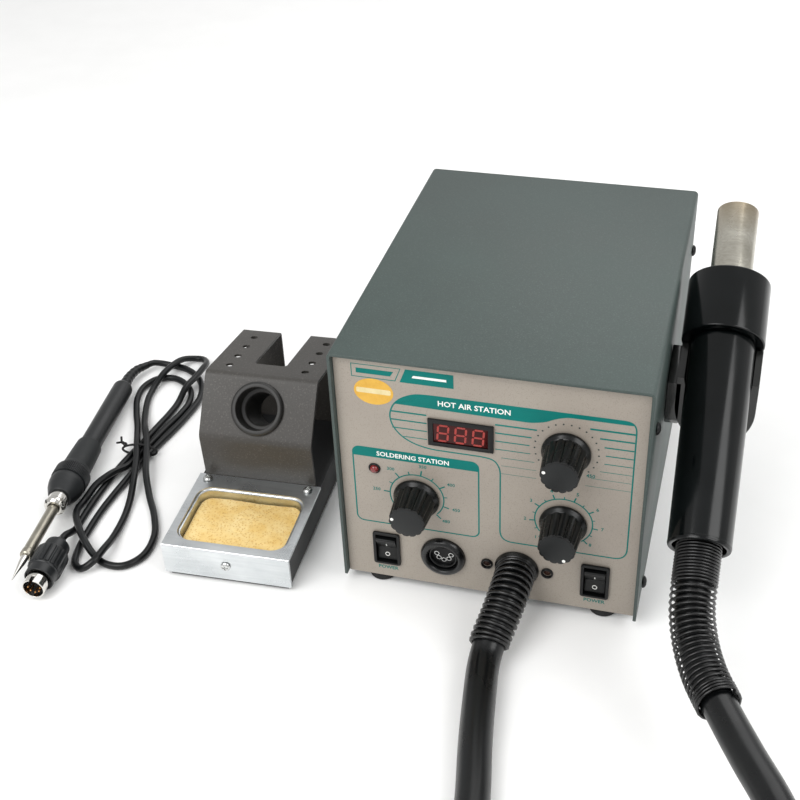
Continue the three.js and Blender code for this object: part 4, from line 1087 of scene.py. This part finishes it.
def makeIron(ring, grip, handle, gripEnd, end, nut, barrel, barrelEnd, tipEnd):
    rear = [(0, end), (handle - 1, end), (handle, end + 2.5), (handle, gripEnd + 1), (0, gripEnd + 1)]
    settle(lathed(rear, 0.8, 4, 64), "ironHandle", "ironPlastic", ironSpot, "iron_handle")
    sleeve = [(0, gripEnd), (grip, gripEnd), (grip + 0.5, -30), (grip + 1.1, -12), (grip + 2.2, -8), (0, -8)]
    settle(lathed(sleeve, 1.0, 4, 64), "ironGrip", "gripRubber", ironSpot)
    ridges = [polar(1.5 * step, ring - (0.55 if step % 4 > 1 else 0)) for step in range(240)]
    settle(slab(ridges, -6.8, 3.4, 0.3, 2), "ironKnurledRing", "ironPlastic", ironSpot)
    bulb = [(4.4, 3.0), (ring - 1.4, 3.0), (ring - 0.6, 5.2), (ring - 0.5, 8.5), (ring - 1.6, 13.5), (nut + 1, 20.4),
            (nut + 0.4, 21), (4.4, 21)]
    settle(lathed(bulb, 1.2, 4, 80, True), "ironNose", "ironPlastic", ironSpot)
    cap = [(4.2, 21.3), (nut - 0.5, 21.3), (nut - 0.5, 28), (nut, 28.5), (nut, 31.2), (nut - 1.5, 33), (4.2, 33)]
    slots = [moved(boxShape(-0.8, 0.8, nut - 1.6, nut + 2, 27.6, 34), turned(45 + 90 * k, "Z")) for k in range(4)]
    settle(cutBy(lathed(cap, 0.35, 3, 64, True), *slots), "ironNut", "chromeNut", ironSpot, "iron_nut")
    tube = [(0, 10.5), (barrel, 10.5), (barrel, 78.5), (barrel + 0.35, 79.2), (barrel + 0.35, 83.4),
            (barrel - 0.5, barrelEnd), (0, barrelEnd)]
    settle(lathed(tube, 0.4, 3, 48), "ironBarrel", "ironBarrelSteel", ironSpot, "iron_barrel")
    tip = [(0, barrelEnd + 0.1), (2.7, barrelEnd + 0.1), (2.6, barrelEnd + 3), (2.3, barrelEnd + 6.5), (0.75, 102),
           (0.3, tipEnd - 0.2), (0, tipEnd)]
    settle(lathed(tip, 0.5, 3, 40), "ironTip", "chromeNut", ironSpot, "iron_tip")


makeIron(**iron)
relief = smoothRoute(reliefRoute, 1.2)
last = len(relief) - 1
ribbed = [1.0 - 0.34 * k / last + (0.07 if k % 4 < 2 and k < last - 4 else 0) for k in range(last + 1)]
settle(wire(relief, 4.3, 5, radii=ribbed), "ironReliefSleeve", "cordRubber", ("iron", place()), "iron_relief")

plugPlace = place(-288.6, -143, 11.8, 5.5, 90)
plug = {"ribRadius": 11.2, "ribDepth": 0.8, "pinCircle": 4.1}


def makePlug(ribRadius, ribDepth, pinCircle):
    spot = ("iron", plugPlace)
    boot = [(0, -3), (3.1, -3), (3.6, -2), (5, 0), (8.2, 3), (8.4, 5), (8.4, 10), (7.2, 10.4), (7, 34), (0, 34)]
    body = settle(lathed(boot, 0.6, 4, 64), "plugBody", "plugPlastic", spot, "plug_body")
    ribs = [polar(360 * step / 108, ribRadius - (ribDepth if step % 6 in (0, 5) else 0)) for step in range(108)]
    sleeve = cutBy(slab(ribs, 12.2, 27.6, 0.5, 2), rod(7.35, 11.5, 30, 48))
    core = [(7.3, 11), (10.4, 11), (10.4, 28.4), (9.8, 29), (9.8, 36), (8.9, 36), (8.9, 33.8), (7.3, 33.8)]
    whole = join(sleeve, lathed(core, 0.35, 3, 64, True))
    ring = settle(whole, "plugRing", "plugPlastic", ("plug_ring", plugPlace), "plug_ring")
    shell = cutBy(pipe(6.7, 7.6, 34.3, 45, 64, 0.25, 3), boxShape(-1.2, 1.2, 6.2, 9, 40, 46))
    metal = settle(shell, "plugShell", "chromeNut", spot, "plug_shell")
    insert = settle(rod(6.65, 34.3, 38.2, 48, 0.3), "plugInsert", "insideDark", spot)
    pin = [(0, 38), (0.6, 38), (0.6, 43.4), (0.25, 44), (0, 44)]
    pins = [moved(lathed(pin, 0.3, 3, 16), shift(*polar(angle, pinCircle))) for angle in pinAngles]
    return [body, ring, metal, insert, settle(join(*pins), "plugPins", "pinBrass", spot)]


onCord = makePlug(**plug)
print("iron done")


# back of the case
def onBack(x, z, out=0.0):
    return "station", place(x, case["rearFace"] + out, z, 180, 90)


def makeInlet():
    spot = onBack(-52, 40)
    rim = slab(roundedBox(39, 26, 3), 0.3, 2.8, 0.5, 3)
    body = slab(roundedBox(27, 20, 2, 0, 0, 4), -21.4, 0.6)
    mouth = slab(roundedBox(21, 13, 2, 0, 0, 4), -14, 4)
    settle(cutBy(join(rim, body), mouth), "mainsInlet", "socketPlastic", spot, "mains_inlet")
    pins = [boxShape(x - 1, x + 1, y - 2.2, y + 2.2, -14.2, -3, 0.4) for x, y in ((-7, -1.5), (0, 1.5), (7, -1.5))]
    settle(join(*pins), "mainsInletPins", "screwSteel", spot)
    for index, x in enumerate((-16.3, 16.3), 1):
        head = moved(screwHead(2.4, 1.2, 0.3, 2), shift(x, 0, 2.8))
        settle(head, f"inletScrew{index}", "screwSteel", spot)
    for index, (x, z) in enumerate(((-88, 170), (88, 170), (-88, 14), (88, 14)), 1):
        settle(screwHead(3.2, 1.8, 0.4, 2), f"rearScrew{index}", "blackScrew", onBack(x, z, 0.2))


makeInlet()


# twist tie round the gathered cord
def makeTie():
    middle = Vector((-283.5, -30, 5.6))
    across = Vector((1, 0.1, 0)).normalized()
    loop = []
    for k in range(40):
        c, s = polar(9 * k, 1)
        loop.append(middle + across * 13.2 * c * (1 - 0.12 * s) + Vector((0, 0.7 * c * s, 5 * s)))
    band = wire(loop, 0.85, 2, True)
    tails = []
    for sign in (1, -1):
        bends = ((-10, 0, 2.6), (-11.5, 1.2, 3.6), (-13, -0.8, 4.6), (-14.5, 1.6, 5.6), (-15.5, 3.8, 6.8))
        tail = [middle + Vector((x, y * sign, z)) for x, y, z in bends]
        tails.append(wire(smoothRoute(tail, 1), 0.8, 2))
    settle(join(band, *tails), "twistTie", "insideDark", ("iron", place()))


makeTie()

# floor
worked("paleFloor", "f4f4f3", "fbfbfa", 0.65, 20, 0.001, patch=2)
floor = settle(boxShape(-4000, 4000, -4000, 4000, -3, -0.02), "floor", "paleFloor", (None, place()))
